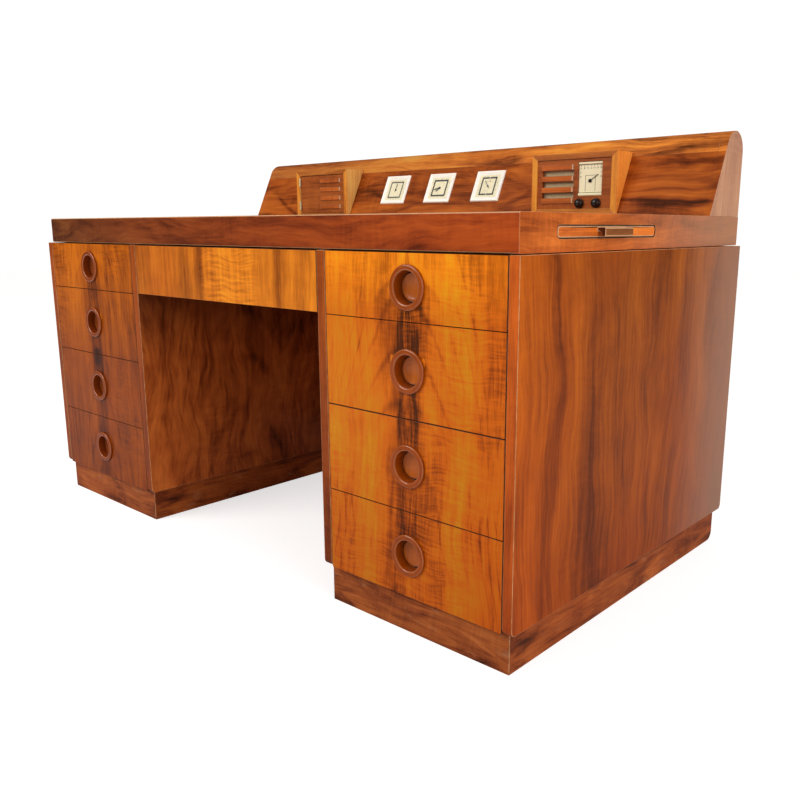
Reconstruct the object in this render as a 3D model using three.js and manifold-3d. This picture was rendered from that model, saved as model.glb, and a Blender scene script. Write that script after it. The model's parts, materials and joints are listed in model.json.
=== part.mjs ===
// Twin-pedestal writing desk with a raised back gallery that holds a cupboard, three
// square instruments and a radio. Millimetres, +X to the sitter's right, +Y to the
// back, +Z up. The desk is drawn about its own middle, with y = 0 on the drawer fronts,
// and the last lines move it so that the origin lies under the middle of its box.

import * as THREE from 'three';
import { mergeVertices } from 'three/addons/utils/BufferGeometryUtils.js';
import Module from 'manifold-3d';

const wasm = await Module();
wasm.setup();

// ---------------------------------------------------------------- driving dimensions

const SEAM = 0.3;                  // gap between two pieces that are glued or rest together

const HALF_WIDTH = 789;            // outer face of a pedestal
const DEPTH = 850;                 // pedestal sides, front to back
const KNEE_HALF = 329;             // kneehole face of a pedestal
const CARCASE_TOP = 696;
const PLINTH_TOP = 76.5;
const PLINTH_INSET = 12;
const PLINTH_WALL = 18;
const PLINTH_HEEL = 20;            // round at the lower back corner of a plinth
const OUTER_SIDE = 20;             // panel thicknesses
const INNER_SIDE = 22;
const SIDE_CORNER = 11;            // round at the two lower corners of a side panel
const BACK_BOARD = 12;
const BACK_INSET = 2;

const FRONT_THICK = 20;
const FRONT_GAP = 1.4;             // shadow line round every drawer front
const DRAWER_JOINTS = [696, 579.3, 410, 240.4, 76.5];
const RUNNER_THICK = 14;
const RUNNER_RAIL = 62;            // width of the rails that make up one runner frame
const BOX_WALL = 12;
const BOX_FLOOR = 8;
const BOX_BACK = 800;              // where the drawer boxes end
const BOX_SIDE_PLAY = 3;
const BOX_FOOT_PLAY = 0.6;
const BOX_HEAD_PLAY = 10;

const PULL_RADIUS = 39.2;          // turned ring pulls
const PULL_HOLE = 28.6;
const PULL_PROUD = 6;
const PULL_SPIGOT = 31.4;
const PULL_SOCKET = 32;
const PULL_ROUND = 2.2;            // chamfer round the outside of a pull, and the smaller one
const PULL_LIP = 1.2;              // at its hole
const CUP_FLOOR = 13;              // floor of the finger cup, behind the drawer front's face
const CUP_DISH = 6;                // width of the sloping margin of that floor
const PULL_END = 19.2;
const PULL_SIDES = 20;
const SMALL_SIDES = 12;            // facets round pins, bores and other small round bars

const CENTRE_BOTTOM = 580.6;       // centre drawer
const CENTRE_BOX_HALF = 310;
const CENTRE_BOX_BACK = 620;
const CENTRE_BOX_LOW = 590.6;
const CENTRE_BOX_HIGH = 682;
const HANGER = 16;                 // rails under the centre drawer
const HANGER_LOW = 582;

const TOP_HALF = 780;              // desktop slab
const TOP_FRONT = 9;
const TOP_BACK = 848;
const TOP_BOTTOM = 697.5;
const TOP_FACE = 760;
const TOP_ROUND = 3;
const MODESTY_FRONT = 806;         // board across the back of the kneehole
const MODESTY_BACK = 824;

const SLOT_FRONT = 112;            // pull-out slide in the right end of the slab
const SLOT_BACK = 449;
const SLOT_BOTTOM = 718.2;
const SLOT_TOP = 741;
const SLOT_CORNER = 8;
const SLOT_DEPTH = 430;
const SLIDE_PLAY = 0.8;
const SLIDE_LENGTH = 415;
const GRIP_FRONT = 237;
const GRIP_BACK = 334;
const GRIP_PROUD = 15;
const GRIP_LOW = 721;
const GRIP_HIGH = 737;

const GALLERY_BASE = 693.6;        // front of the gallery where it meets the slab
const GALLERY_BED = 0.6;           // shallow housing in the slab that the gallery stands in
const GALLERY_FOOT = TOP_FACE - GALLERY_BED + SEAM;
const GALLERY_BACK = 846;
const GALLERY_TOP = 940;
const CAP_RADIUS = 43;
const CAP_STEPS = 14;
const GALLERY_SKIN = 14;
const GALLERY_END = 18;
const CAP_JOINT = 895;             // height of the joint between face and cap
const GALLERY_FLOOR = 10;

const CASE_FRONT = 691;            // cupboard and radio cases
const CASE_REBATE = 717;
const CASE_REAR = 826;
const CASE_OUTER = 560;
const CASE_INNER = 330;
const CASE_TOP = 905.5;
const OPENING_OUTER = 545;
const OPENING_INNER = 345;
const OPENING_BOTTOM = 779.5;
const OPENING_TOP = 892.5;
const OPENING_REAR = 815;
const PANEL_FACE = 694;            // front of the door and of the radio panel
const PANEL_THICK = 12;            // cupboard door
const BAR_HEIGHT = 12.5;
const BAR_PITCH = 25.4;
const BAR_COUNT = 4;
const BAR_PROUD = 2.6;
const BAR_MIDDLE = 836.5;
const BAR_SLOPE = 3;               // length of the sloping end of a slat
const DOOR_BARS = [-454, -363];
const RADIO_BARS = [355, 444];
const DOOR_SPAN = [-542.6, -346.3];
const DOOR_PLAY = 1.2;

const GAUGE_WIDTH = 90;            // thermometer, clock and barometer
const GAUGE_HEIGHT = 85;
const GAUGE_PITCH = 166;
const GAUGE_UP = 89;               // centre, measured up the slope from the slab
const GAUGE_CAN = 34;
const GAUGE_DEPTH = 32;
const GAUGE_SIDES = 20;

const HINGE_X = -543.2;            // pin of the cupboard door
const HINGE_Y = 689.5;
const HINGE_RADIUS = 2.3;
const HINGE_LENGTH = 24.5;
const HINGE_HEIGHTS = { upper: 872.5, lower: 804 };
const HINGE_LEAF_BACK = 706;

// The face leans back on the tangent from its foot to the round cap.
const CAP_Y = GALLERY_BACK - CAP_RADIUS;
const CAP_Z = GALLERY_TOP - CAP_RADIUS;
const LEAN = tangentLean();

function tangentLean() {
  const run = CAP_Y - GALLERY_BASE;
  const rise = CAP_Z - TOP_FACE;
  const reach = Math.hypot(run, rise);
  return Math.atan2(run, rise) - Math.asin(CAP_RADIUS / reach);
}

// ---------------------------------------------------------------- materials

function finish(color, roughness, metalness = 0) {
  return new THREE.MeshStandardMaterial({ color, roughness, metalness });
}

const materials = {
  front: () => finish(0xb5651f, 0.32),
  centreFront: () => finish(0xc97722, 0.32),
  side: () => finish(0x99562a, 0.36),
  top: () => finish(0x83401f, 0.3),
  plinth: () => finish(0x5b2f1a, 0.5),
  gallery: () => finish(0x8c4120, 0.32),
  cap: () => finish(0xc4762c, 0.32),
  frame: () => finish(0xc27a34, 0.34),
  pull: () => finish(0x94481f, 0.25),
  oak: () => finish(0xc19a63, 0.62),
  brass: () => finish(0xd8b56a, 0.35, 1),
  chrome: () => finish(0xcfcabc, 0.25, 1),
  cream: () => finish(0xf0e6c4, 0.5),
  black: () => finish(0x15120f, 0.35),
  bakelite: () => finish(0x241b17, 0.28),
  steel: () => finish(0x8d8f91, 0.45, 1),
};

// ---------------------------------------------------------------- geometry helpers

const AXIS_X = new THREE.Vector3(1, 0, 0);
const AXIS_Y = new THREE.Vector3(0, 1, 0);
const AXIS_Z = new THREE.Vector3(0, 0, 1);

function block(x, y, z) {
  const geometry = new THREE.BoxGeometry(x[1] - x[0], y[1] - y[0], z[1] - z[0]);
  geometry.translate((x[0] + x[1]) / 2, (y[0] + y[1]) / 2, (z[0] + z[1]) / 2);
  return geometry;
}

function outline(points) {
  return new THREE.Shape(points.map(([u, v]) => new THREE.Vector2(u, v)));
}

// An outline drawn in (y, z) and extruded along X.
function alongX(shape, x0, x1, curveSegments = 4) {
  const options = { depth: x1 - x0, bevelEnabled: false, curveSegments };
  const geometry = new THREE.ExtrudeGeometry(shape, options);
  geometry.applyMatrix4(new THREE.Matrix4().makeBasis(AXIS_Y, AXIS_Z, AXIS_X));
  geometry.translate(x0, 0, 0);
  return geometry;
}

// An outline drawn in (z, x) and extruded along Y.
function alongY(shape, y0, y1) {
  const geometry = new THREE.ExtrudeGeometry(shape, { depth: y1 - y0, bevelEnabled: false });
  geometry.applyMatrix4(new THREE.Matrix4().makeBasis(AXIS_Z, AXIS_X, AXIS_Y));
  geometry.translate(0, y0, 0);
  return geometry;
}

// A profile of [radius, y] turned about a line along Y through (x, z).
function turnedOnY(profile, x, z, sides) {
  const points = profile.map(([radius, y]) => new THREE.Vector2(radius, y));
  const geometry = new THREE.LatheGeometry(points, sides);
  geometry.translate(x, 0, z);
  return geometry;
}

// A plain round bar along Y.
function barOnY(radius, y0, y1, x, z, sides = SMALL_SIDES) {
  return turnedOnY([[0, y0], [radius, y0], [radius, y1], [0, y1]], x, z, sides);
}

// A round bar along the local Z axis.
function barOnZ(radius, z0, z1, x, y, sides = SMALL_SIDES) {
  const geometry = new THREE.CylinderGeometry(radius, radius, z1 - z0, sides);
  geometry.rotateX(Math.PI / 2);
  geometry.translate(x, y, (z0 + z1) / 2);
  return geometry;
}

function roundedRectangle(u0, u1, v0, v1, radius) {
  const shape = new THREE.Shape();
  shape.moveTo(u0 + radius, v0);
  shape.lineTo(u1 - radius, v0);
  shape.absarc(u1 - radius, v0 + radius, radius, -Math.PI / 2, 0);
  shape.lineTo(u1, v1 - radius);
  shape.absarc(u1 - radius, v1 - radius, radius, 0, Math.PI / 2);
  shape.lineTo(u0 + radius, v1);
  shape.absarc(u0 + radius, v1 - radius, radius, Math.PI / 2, Math.PI);
  shape.lineTo(u0, v0 + radius);
  shape.absarc(u0 + radius, v0 + radius, radius, Math.PI, Math.PI * 1.5);
  return shape;
}

function solid(geometry) {
  const bare = geometry.clone();
  bare.deleteAttribute('normal');
  bare.deleteAttribute('uv');
  const merged = mergeVertices(bare, 1e-4);
  const vertProperties = new Float32Array(merged.attributes.position.array);
  const triVerts = new Uint32Array(merged.index.array);
  return new wasm.Manifold(new wasm.Mesh({ numProp: 3, vertProperties, triVerts }));
}

function surface(manifold) {
  const mesh = manifold.getMesh();
  const geometry = new THREE.BufferGeometry();
  geometry.setAttribute('position', new THREE.BufferAttribute(mesh.vertProperties, 3));
  geometry.setIndex(new THREE.BufferAttribute(mesh.triVerts, 1));
  geometry.computeVertexNormals();
  return geometry;
}

function joined(first, ...others) {
  return surface(others.reduce((sum, other) => sum.add(solid(other)), solid(first)));
}

function cut(body, ...tools) {
  return surface(tools.reduce((rest, tool) => rest.subtract(solid(tool)), solid(body)));
}

const desk = new THREE.Group();

function piece(name, geometry, material, parent = desk) {
  const mesh = new THREE.Mesh(geometry, material());
  mesh.name = name;
  parent.add(mesh);
  return mesh;
}

// ---------------------------------------------------------------- pedestals

// side is +1 for the right pedestal and -1 for the left one. A span is given by its
// distances from the middle of the desk, nearest first.
function span(side, near, far) {
  return side > 0 ? [near, far] : [-far, -near];
}

function sidePanelOutline() {
  const shape = new THREE.Shape();
  const low = PLINTH_TOP;
  shape.moveTo(SIDE_CORNER, low);
  shape.lineTo(DEPTH - SIDE_CORNER, low);
  shape.absarc(DEPTH - SIDE_CORNER, low + SIDE_CORNER, SIDE_CORNER, -Math.PI / 2, 0);
  shape.lineTo(DEPTH, CARCASE_TOP);
  shape.lineTo(0, CARCASE_TOP);
  shape.lineTo(0, low + SIDE_CORNER);
  shape.absarc(SIDE_CORNER, low + SIDE_CORNER, SIDE_CORNER, Math.PI, Math.PI * 1.5);
  return shape;
}

function plinthOutline() {
  const front = PLINTH_INSET;
  const back = DEPTH - PLINTH_INSET;
  const top = PLINTH_TOP - SEAM;
  const shape = new THREE.Shape();
  shape.moveTo(front, 0);
  shape.lineTo(back - PLINTH_HEEL, 0);
  shape.absarc(back - PLINTH_HEEL, PLINTH_HEEL, PLINTH_HEEL, -Math.PI / 2, 0);
  shape.lineTo(back, top);
  shape.lineTo(front, top);
  return shape;
}

function plinth(side) {
  const x = span(side, KNEE_HALF + PLINTH_INSET, HALF_WIDTH - PLINTH_INSET);
  const inside = [x[0] + PLINTH_WALL, x[1] - PLINTH_WALL];
  const y = [PLINTH_INSET + PLINTH_WALL, DEPTH - PLINTH_INSET - PLINTH_WALL];
  return cut(alongX(plinthOutline(), x[0], x[1]), block(inside, y, [-1, PLINTH_TOP]));
}

// Five boards on two back posts: each board carries the drawer above it.
function runnerFrame(side) {
  const x = span(side, KNEE_HALF + INNER_SIDE + SEAM, HALF_WIDTH - OUTER_SIDE - SEAM);
  const y = [FRONT_THICK + SEAM, DEPTH - BACK_INSET - BACK_BOARD - SEAM];
  const low = PLINTH_TOP + SEAM;
  const high = CARCASE_TOP - SEAM;
  const post = [y[1] - 20, y[1]];
  const boards = [block(x, y, [low, low + RUNNER_THICK]), block(x, y, [high - RUNNER_THICK, high])];
  const windows = [];
  for (const height of DRAWER_JOINTS.slice(1, 4)) {
    const z = [height - RUNNER_THICK / 2, height + RUNNER_THICK / 2];
    boards.push(block(x, y, z));
    const open = [x[0] + RUNNER_RAIL, x[1] - RUNNER_RAIL];
    windows.push(block(open, [y[0] + RUNNER_RAIL, y[1] - RUNNER_RAIL], [z[0] - 1, z[1] + 1]));
  }
  const posts = [block([x[0], x[0] + 20], post, [low, high]), block([x[1] - 20, x[1]], post, [low, high])];
  return cut(joined(posts[0], posts[1], ...boards), ...windows);
}

function hanger(side) {
  const x = span(side, KNEE_HALF - HANGER, KNEE_HALF + 1);
  return block(x, [FRONT_THICK + 2, CENTRE_BOX_BACK + 20], [HANGER_LOW, HANGER_LOW + HANGER / 2]);
}

function pedestal(side, hand) {
  const outer = span(side, HALF_WIDTH - OUTER_SIDE, HALF_WIDTH);
  const inner = span(side, KNEE_HALF, KNEE_HALF + INNER_SIDE);
  const between = span(side, KNEE_HALF + INNER_SIDE + SEAM, HALF_WIDTH - OUTER_SIDE - SEAM);
  const back = [DEPTH - BACK_INSET - BACK_BOARD, DEPTH - BACK_INSET];
  const height = [PLINTH_TOP + SEAM, CARCASE_TOP - SEAM];
  const innerPanel = alongX(sidePanelOutline(), inner[0], inner[1]);
  piece(`${hand}_outer_side`, alongX(sidePanelOutline(), outer[0], outer[1]), materials.side);
  piece(`${hand}_inner_side`, joined(innerPanel, hanger(side)), materials.side);
  piece(`${hand}_back`, block(between, back, height), materials.side);
  piece(`${hand}_runner_frame`, runnerFrame(side), materials.oak);
  piece(`${hand}_plinth`, plinth(side), materials.plinth);
}

// ---------------------------------------------------------------- drawers

function drawerBox(x, y, z) {
  const inside = [x[0] + BOX_WALL, x[1] - BOX_WALL];
  const room = [y[0] + BOX_WALL, y[1] - BOX_WALL];
  return cut(block(x, y, z), block(inside, room, [z[0] + BOX_FLOOR, z[1] + 5]));
}

// A turned ring whose spigot is glued into the drawer front and closed by a dished floor.
function ringPull(x, z) {
  const profile = [
    [0, CUP_FLOOR],
    [PULL_HOLE - CUP_DISH, CUP_FLOOR - PULL_LIP],
    [PULL_HOLE, CUP_FLOOR],
    [PULL_HOLE, PULL_LIP - PULL_PROUD],
    [PULL_HOLE + PULL_LIP, -PULL_PROUD],
    [PULL_RADIUS - PULL_ROUND, -PULL_PROUD],
    [PULL_RADIUS, PULL_ROUND - PULL_PROUD],
    [PULL_RADIUS, -SEAM],
    [PULL_SPIGOT, -SEAM],
    [PULL_SPIGOT, PULL_END],
    [0, PULL_END],
  ];
  return turnedOnY(profile, x, z, PULL_SIDES);
}

function pedestalDrawer(side, hand, number) {
  const name = `${hand}_drawer_${number}`;
  const high = DRAWER_JOINTS[number - 1];
  const low = DRAWER_JOINTS[number];
  const wall = [KNEE_HALF + INNER_SIDE, HALF_WIDTH - OUTER_SIDE];
  const x = span(side, wall[0] + FRONT_GAP, wall[1] - FRONT_GAP);
  const z = [low + FRONT_GAP / 2, high - FRONT_GAP / 2];
  const middle = [(x[0] + x[1]) / 2, (low + high) / 2];
  const socket = barOnY(PULL_SOCKET, -1, FRONT_THICK + 1, middle[0], middle[1], PULL_SIDES);
  piece(`${name}_front`, cut(block(x, [0, FRONT_THICK], z), socket), materials.front);

  const shelf = number === 4 ? low + SEAM + RUNNER_THICK : low + RUNNER_THICK / 2;
  const ceiling = number === 1 ? high - SEAM - RUNNER_THICK : high - RUNNER_THICK / 2;
  const boxX = span(side, wall[0] + BOX_SIDE_PLAY, wall[1] - BOX_SIDE_PLAY);
  const boxZ = [shelf + BOX_FOOT_PLAY, ceiling - BOX_HEAD_PLAY];
  piece(`${name}_box`, drawerBox(boxX, [FRONT_THICK + SEAM, BOX_BACK], boxZ), materials.oak);
  piece(`${name}_pull`, ringPull(middle[0], middle[1]), materials.pull);
}

function centreDrawer() {
  const half = KNEE_HALF - FRONT_GAP;
  const z = [CENTRE_BOTTOM, CARCASE_TOP - FRONT_GAP / 2];
  piece('centre_drawer_front', block([-half, half], [0, FRONT_THICK], z), materials.centreFront);
  const boxZ = [CENTRE_BOX_LOW, CENTRE_BOX_HIGH];
  const boxX = [-CENTRE_BOX_HALF, CENTRE_BOX_HALF];
  const box = drawerBox(boxX, [FRONT_THICK + SEAM, CENTRE_BOX_BACK], boxZ);
  piece('centre_drawer_box', box, materials.oak);
}

// ---------------------------------------------------------------- desktop and slide

function desktop() {
  const slab = alongX(
    roundedRectangle(TOP_FRONT, TOP_BACK, TOP_BOTTOM, TOP_FACE, TOP_ROUND),
    -TOP_HALF,
    TOP_HALF,
    2,
  );
  const slot = roundedRectangle(SLOT_FRONT, SLOT_BACK, SLOT_BOTTOM, SLOT_TOP, SLOT_CORNER);
  const slotSpace = alongX(slot, TOP_HALF - SLOT_DEPTH, TOP_HALF + 1);
  const width = [-TOP_HALF - 1, TOP_HALF + 1];
  const bed = block(width, [CASE_FRONT - SEAM, TOP_BACK + 1], [TOP_FACE - GALLERY_BED, TOP_FACE + 1]);
  piece('desktop', cut(slab, slotSpace, bed), materials.top);
}

// The slide fills the slot, and a lip at the middle of its end is hollowed underneath.
function writingSlide() {
  const section = roundedRectangle(
    SLOT_FRONT + SLIDE_PLAY,
    SLOT_BACK - SLIDE_PLAY,
    SLOT_BOTTOM + SLIDE_PLAY,
    SLOT_TOP - SLIDE_PLAY,
    SLOT_CORNER - SLIDE_PLAY,
  );
  const end = TOP_HALF - 0.5;
  const nose = TOP_HALF + GRIP_PROUD;
  const low = GRIP_LOW;
  const high = GRIP_HIGH;
  const round = 1.5;
  const lip = outline([
    [high, end - 1],
    [low + 9.5, end - 1],
    [low + 9.5, end + 4.5],
    [low + 6, end + 7.5],
    [low + round, end + 8.8],
    [low, end + 10.5],
    [low, nose - round],
    [low + round, nose],
    [high - round, nose],
    [high, nose - round],
  ]);
  const board = alongX(section, end - SLIDE_LENGTH, end);
  piece('writing_slide', joined(board, alongY(lip, GRIP_FRONT, GRIP_BACK)), materials.frame);
}

function modestyPanel() {
  const x = [-KNEE_HALF + SEAM, KNEE_HALF - SEAM];
  const z = [PLINTH_TOP, TOP_BOTTOM - SEAM];
  piece('modesty_panel', block(x, [MODESTY_FRONT, MODESTY_BACK], z), materials.side);
}

// ---------------------------------------------------------------- gallery

// A point of the leaning face: height z, set in from the surface by depth.
function facePoint(z, depth) {
  return [GALLERY_BASE + (z - TOP_FACE) * Math.tan(LEAN) + depth / Math.cos(LEAN), z];
}

// The round of the cap from the leaning face over to the back, at a given radius.
function capArc(radius, steps) {
  const points = [];
  const start = Math.PI - LEAN;
  for (let step = 0; step <= steps; step += 1) {
    const angle = start * (1 - step / steps);
    points.push([CAP_Y + radius * Math.cos(angle), CAP_Z + radius * Math.sin(angle)]);
  }
  return points;
}

function galleryEnd(x0) {
  const foot = GALLERY_FOOT;
  const points = [facePoint(foot, 0), ...capArc(CAP_RADIUS, CAP_STEPS), [GALLERY_BACK, foot]];
  return alongX(outline(points), x0, x0 + GALLERY_END);
}

// The space of a cupboard or radio case, grown by a margin. Its foot is rebated over the
// gallery's floor board.
function caseSpace(side, margin) {
  const x = span(side, CASE_INNER - margin, CASE_OUTER + margin);
  const high = CASE_TOP + margin;
  const foot = GALLERY_FOOT - margin;
  const front = block(x, [CASE_FRONT - margin, CASE_REBATE + margin], [foot, high]);
  const step = foot + GALLERY_FLOOR + SEAM;
  const rear = block(x, [CASE_REBATE - 1, CASE_REAR + margin], [step, high]);
  return joined(front, rear);
}

function gaugeGroup(x) {
  const [y, z] = facePoint(TOP_FACE + GAUGE_UP * Math.cos(LEAN), 0);
  const group = new THREE.Group();
  group.position.set(x, y, z);
  group.rotation.x = Math.PI / 2 - LEAN;
  desk.add(group);
  group.updateMatrixWorld(true);
  return group;
}

function gallery(gaugeGroups) {
  const foot = GALLERY_FOOT;
  const inside = [-TOP_HALF + GALLERY_END - 1, TOP_HALF - GALLERY_END + 1];
  const back = block(inside, [GALLERY_BACK - BACK_BOARD, GALLERY_BACK], [foot, CAP_Z - SEAM]);
  const ends = [galleryEnd(-TOP_HALF), galleryEnd(TOP_HALF - GALLERY_END)];
  piece('gallery_carcase', joined(back, ...ends), materials.side);

  const between = [-TOP_HALF + GALLERY_END + SEAM, TOP_HALF - GALLERY_END - SEAM];
  const floorY = [facePoint(foot, GALLERY_SKIN - 2)[0], GALLERY_BACK - BACK_BOARD - SEAM];
  const floor = block(between, floorY, [foot, foot + GALLERY_FLOOR]);
  const envelopes = [caseSpace(-1, SEAM), caseSpace(1, SEAM)];
  const high = CAP_JOINT - SEAM;
  const board = outline([
    facePoint(foot, 0),
    facePoint(foot, GALLERY_SKIN),
    facePoint(high, GALLERY_SKIN),
    facePoint(high, 0),
  ]);
  const holes = gaugeGroups.map((group) => {
    const bore = barOnZ(GAUGE_CAN + SEAM, -GALLERY_SKIN - 10, 10, 0, 0, GAUGE_SIDES);
    return bore.applyMatrix4(group.matrixWorld);
  });
  const face = cut(joined(alongX(board, between[0], between[1]), floor), ...envelopes, ...holes);
  piece('gallery_face', face, materials.gallery);

  const cap = outline([
    facePoint(CAP_JOINT, 0),
    ...capArc(CAP_RADIUS, CAP_STEPS),
    ...capArc(CAP_RADIUS - GALLERY_SKIN, 8).reverse(),
    facePoint(CAP_JOINT, GALLERY_SKIN),
  ]);
  piece('gallery_cap', cut(alongX(cap, between[0], between[1]), ...envelopes), materials.cap);
}

// ---------------------------------------------------------------- cupboard and radio

function instrumentCase(side) {
  const room = block(
    span(side, OPENING_INNER, OPENING_OUTER),
    [CASE_FRONT - 1, OPENING_REAR],
    [OPENING_BOTTOM, OPENING_TOP],
  );
  return cut(caseSpace(side, 0), room);
}

// Four slats with sloping ends on the face of the door and of the radio panel.
function slats(x0, x1) {
  const parts = [];
  for (let row = 0; row < BAR_COUNT; row += 1) {
    const middle = BAR_MIDDLE + ((BAR_COUNT - 1) / 2 - row) * BAR_PITCH;
    const shape = new THREE.Shape();
    shape.moveTo(x0, PANEL_FACE + 1);
    shape.lineTo(x1, PANEL_FACE + 1);
    shape.lineTo(x1, PANEL_FACE);
    shape.lineTo(x1 - BAR_SLOPE, PANEL_FACE - BAR_PROUD);
    shape.lineTo(x0 + BAR_SLOPE, PANEL_FACE - BAR_PROUD);
    shape.lineTo(x0, PANEL_FACE);
    const slat = new THREE.ExtrudeGeometry(shape, { depth: BAR_HEIGHT, bevelEnabled: false });
    slat.translate(0, 0, middle - BAR_HEIGHT / 2);
    parts.push(slat);
  }
  return parts;
}

function hinge(z) {
  const barrel = barOnZ(HINGE_RADIUS, z - HINGE_LENGTH / 2, z + HINGE_LENGTH / 2, HINGE_X, HINGE_Y);
  const leafX = [HINGE_X - 1.5, HINGE_X - 0.4];
  const leaf = block(leafX, [HINGE_Y, HINGE_LEAF_BACK], [z - HINGE_LENGTH / 2, z + HINGE_LENGTH / 2]);
  return joined(barrel, leaf);
}

function cupboard() {
  piece('cabinet_case', instrumentCase(-1), materials.frame);
  const z = [OPENING_BOTTOM + DOOR_PLAY, OPENING_TOP - DOOR_PLAY];
  const board = block(DOOR_SPAN, [PANEL_FACE, PANEL_FACE + PANEL_THICK], z);
  piece('cabinet_door', joined(board, ...slats(...DOOR_BARS)), materials.gallery);
  for (const [place, height] of Object.entries(HINGE_HEIGHTS)) {
    piece(`cabinet_hinge_${place}`, hinge(height), materials.brass);
  }
}

const DIAL_X = [457, 520];
const DIAL_Z = [808, 885.5];
const SPINDLE = [488, 842.3];
const KNOB_Z = 791.5;
const KNOB_X = { volume_knob: 463.5, tuning_knob: 508 };
const KNOB_FRONT = 681.5;
const KNOB_RADIUS = 11.6;
const KNOB_STEM = 3;
const KNOB_BORE = 3.6;
const SPINDLE_RADIUS = 2.2;
const SPINDLE_BORE = 2.7;
const RADIO_PANEL_THICK = 10;

function radioPanel() {
  const x = [OPENING_INNER + SEAM, OPENING_OUTER - SEAM];
  const z = [OPENING_BOTTOM + SEAM, OPENING_TOP - SEAM];
  const through = [PANEL_FACE - 9, PANEL_FACE + 20];
  const openings = [block(DIAL_X, through, DIAL_Z)];
  for (let row = 0; row < BAR_COUNT - 1; row += 1) {
    const middle = BAR_MIDDLE + ((BAR_COUNT - 2) / 2 - row) * BAR_PITCH;
    const half = (BAR_PITCH - BAR_HEIGHT) / 2;
    const slit = [middle - half, middle + half];
    openings.push(block([RADIO_BARS[0] + BAR_SLOPE, RADIO_BARS[1] + 2], through, slit));
  }
  for (const knobX of Object.values(KNOB_X)) {
    openings.push(barOnY(KNOB_BORE, through[0], through[1], knobX, KNOB_Z));
  }
  const board = block(x, [PANEL_FACE, PANEL_FACE + RADIO_PANEL_THICK], z);
  return cut(joined(board, ...slats(...RADIO_BARS)), ...openings);
}

// A pressed plate with a rolled lip along its upper and lower edges.
function dialPlate() {
  const x = [DIAL_X[0] + 0.5, DIAL_X[1] - 0.5];
  const face = PANEL_FACE + 4;
  const lip = 6;
  const crest = face - 2.8;
  const low = DIAL_Z[0] + 0.5;
  const high = DIAL_Z[1] - 0.5;
  const section = outline([
    [face + 2, low],
    [face + 2, high],
    [face - 1, high],
    [crest, high - 1.6],
    [crest, high - lip + 1.4],
    [face, high - lip],
    [face, low + lip],
    [crest, low + lip - 1.4],
    [crest, low + 1.6],
    [face - 1, low],
  ]);
  const bore = barOnY(SPINDLE_BORE, face - 9, face + 9, SPINDLE[0], SPINDLE[1]);
  return cut(alongX(section, x[0], x[1]), bore);
}

function dialPointer() {
  const [x, z] = SPINDLE;
  const spindle = barOnY(SPINDLE_RADIUS, PANEL_FACE + 2.2, PANEL_FACE + 12, x, z);
  const hub = barOnY(4.2, PANEL_FACE + 1.6, PANEL_FACE + 3.4, x, z);
  const halfWidth = 0.7;
  const blade = block([-5.5, 25], [PANEL_FACE + 2, PANEL_FACE + 2.8], [-halfWidth, halfWidth]);
  const climb = Math.atan2(14, 21);
  blade.rotateY(-climb);
  blade.translate(x, 0, z);
  return joined(hub, spindle, blade);
}

function knob(x) {
  const front = KNOB_FRONT;
  const skirtBack = PANEL_FACE - 0.6;
  const stemEnd = PANEL_FACE + 17;
  const profile = [
    [0, front],
    [4, front + 0.35],
    [7.6, front + 1.8],
    [9.9, front + 4.4],
    [10.6, front + 7],
    [KNOB_RADIUS, front + 9.4],
    [KNOB_RADIUS, skirtBack],
    [KNOB_STEM, skirtBack],
    [KNOB_STEM, stemEnd],
    [0, stemEnd],
  ];
  return turnedOnY(profile, x, KNOB_Z, 16);
}

// Chassis tray, loudspeaker, mains transformer and three valves, as one assembly.
function radioChassis() {
  const low = OPENING_BOTTOM + SEAM;
  const trayTop = low + 14;
  const speaker = [401, 837];
  const speakerFront = PANEL_FACE + 12;
  const tray = block([352, 538], [PANEL_FACE + 19, OPENING_REAR - 3], [low, trayTop]);
  const basket = turnedOnY([
    [0, speakerFront + 16],
    [16, speakerFront + 15],
    [38, speakerFront],
    [43, speakerFront],
    [43, speakerFront + 4],
    [24, speakerFront + 26],
    [22, speakerFront + 46],
    [0, speakerFront + 46],
  ], speaker[0], speaker[1], 16);
  const foot = block([381, 421], [speakerFront + 8, speakerFront + 40], [trayTop - 2, speaker[1] - 18]);
  const transformer = block([470, 530], [752, 800], [trayTop - 1, trayTop + 52]);
  const tuner = block([468, 510], [PANEL_FACE + 20, 744], [trayTop - 1, 858]);
  const valves = [378, 405, 432].map((x) => barOnZ(11, trayTop - 1, trayTop + 58, x, 790, 10));
  return joined(tray, basket, foot, transformer, tuner, ...valves);
}

function radio() {
  piece('radio_case', instrumentCase(1), materials.frame);
  piece('radio_panel', radioPanel(), materials.gallery);
  piece('radio_dial', dialPlate(), materials.cream);
  piece('radio_pointer', dialPointer(), materials.black);
  for (const [name, x] of Object.entries(KNOB_X)) {
    piece(name, knob(x), materials.bakelite);
  }
  piece('radio_chassis', radioChassis(), materials.steel);
}

// ---------------------------------------------------------------- instruments

const BEZEL_PROUD = 5;
const BEZEL_SLOPE = 3.4;
const DIAL_LEVEL = 1.4;
const ARBOR_HOLE = 2.4;
const WINDOW_HALF = [33, 31];      // the glazed opening of a bezel
const HAND_THICK = 0.6;
const READINGS = { thermometer: 84, hour: 226, minute: 196, barometer: 130 };

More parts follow.
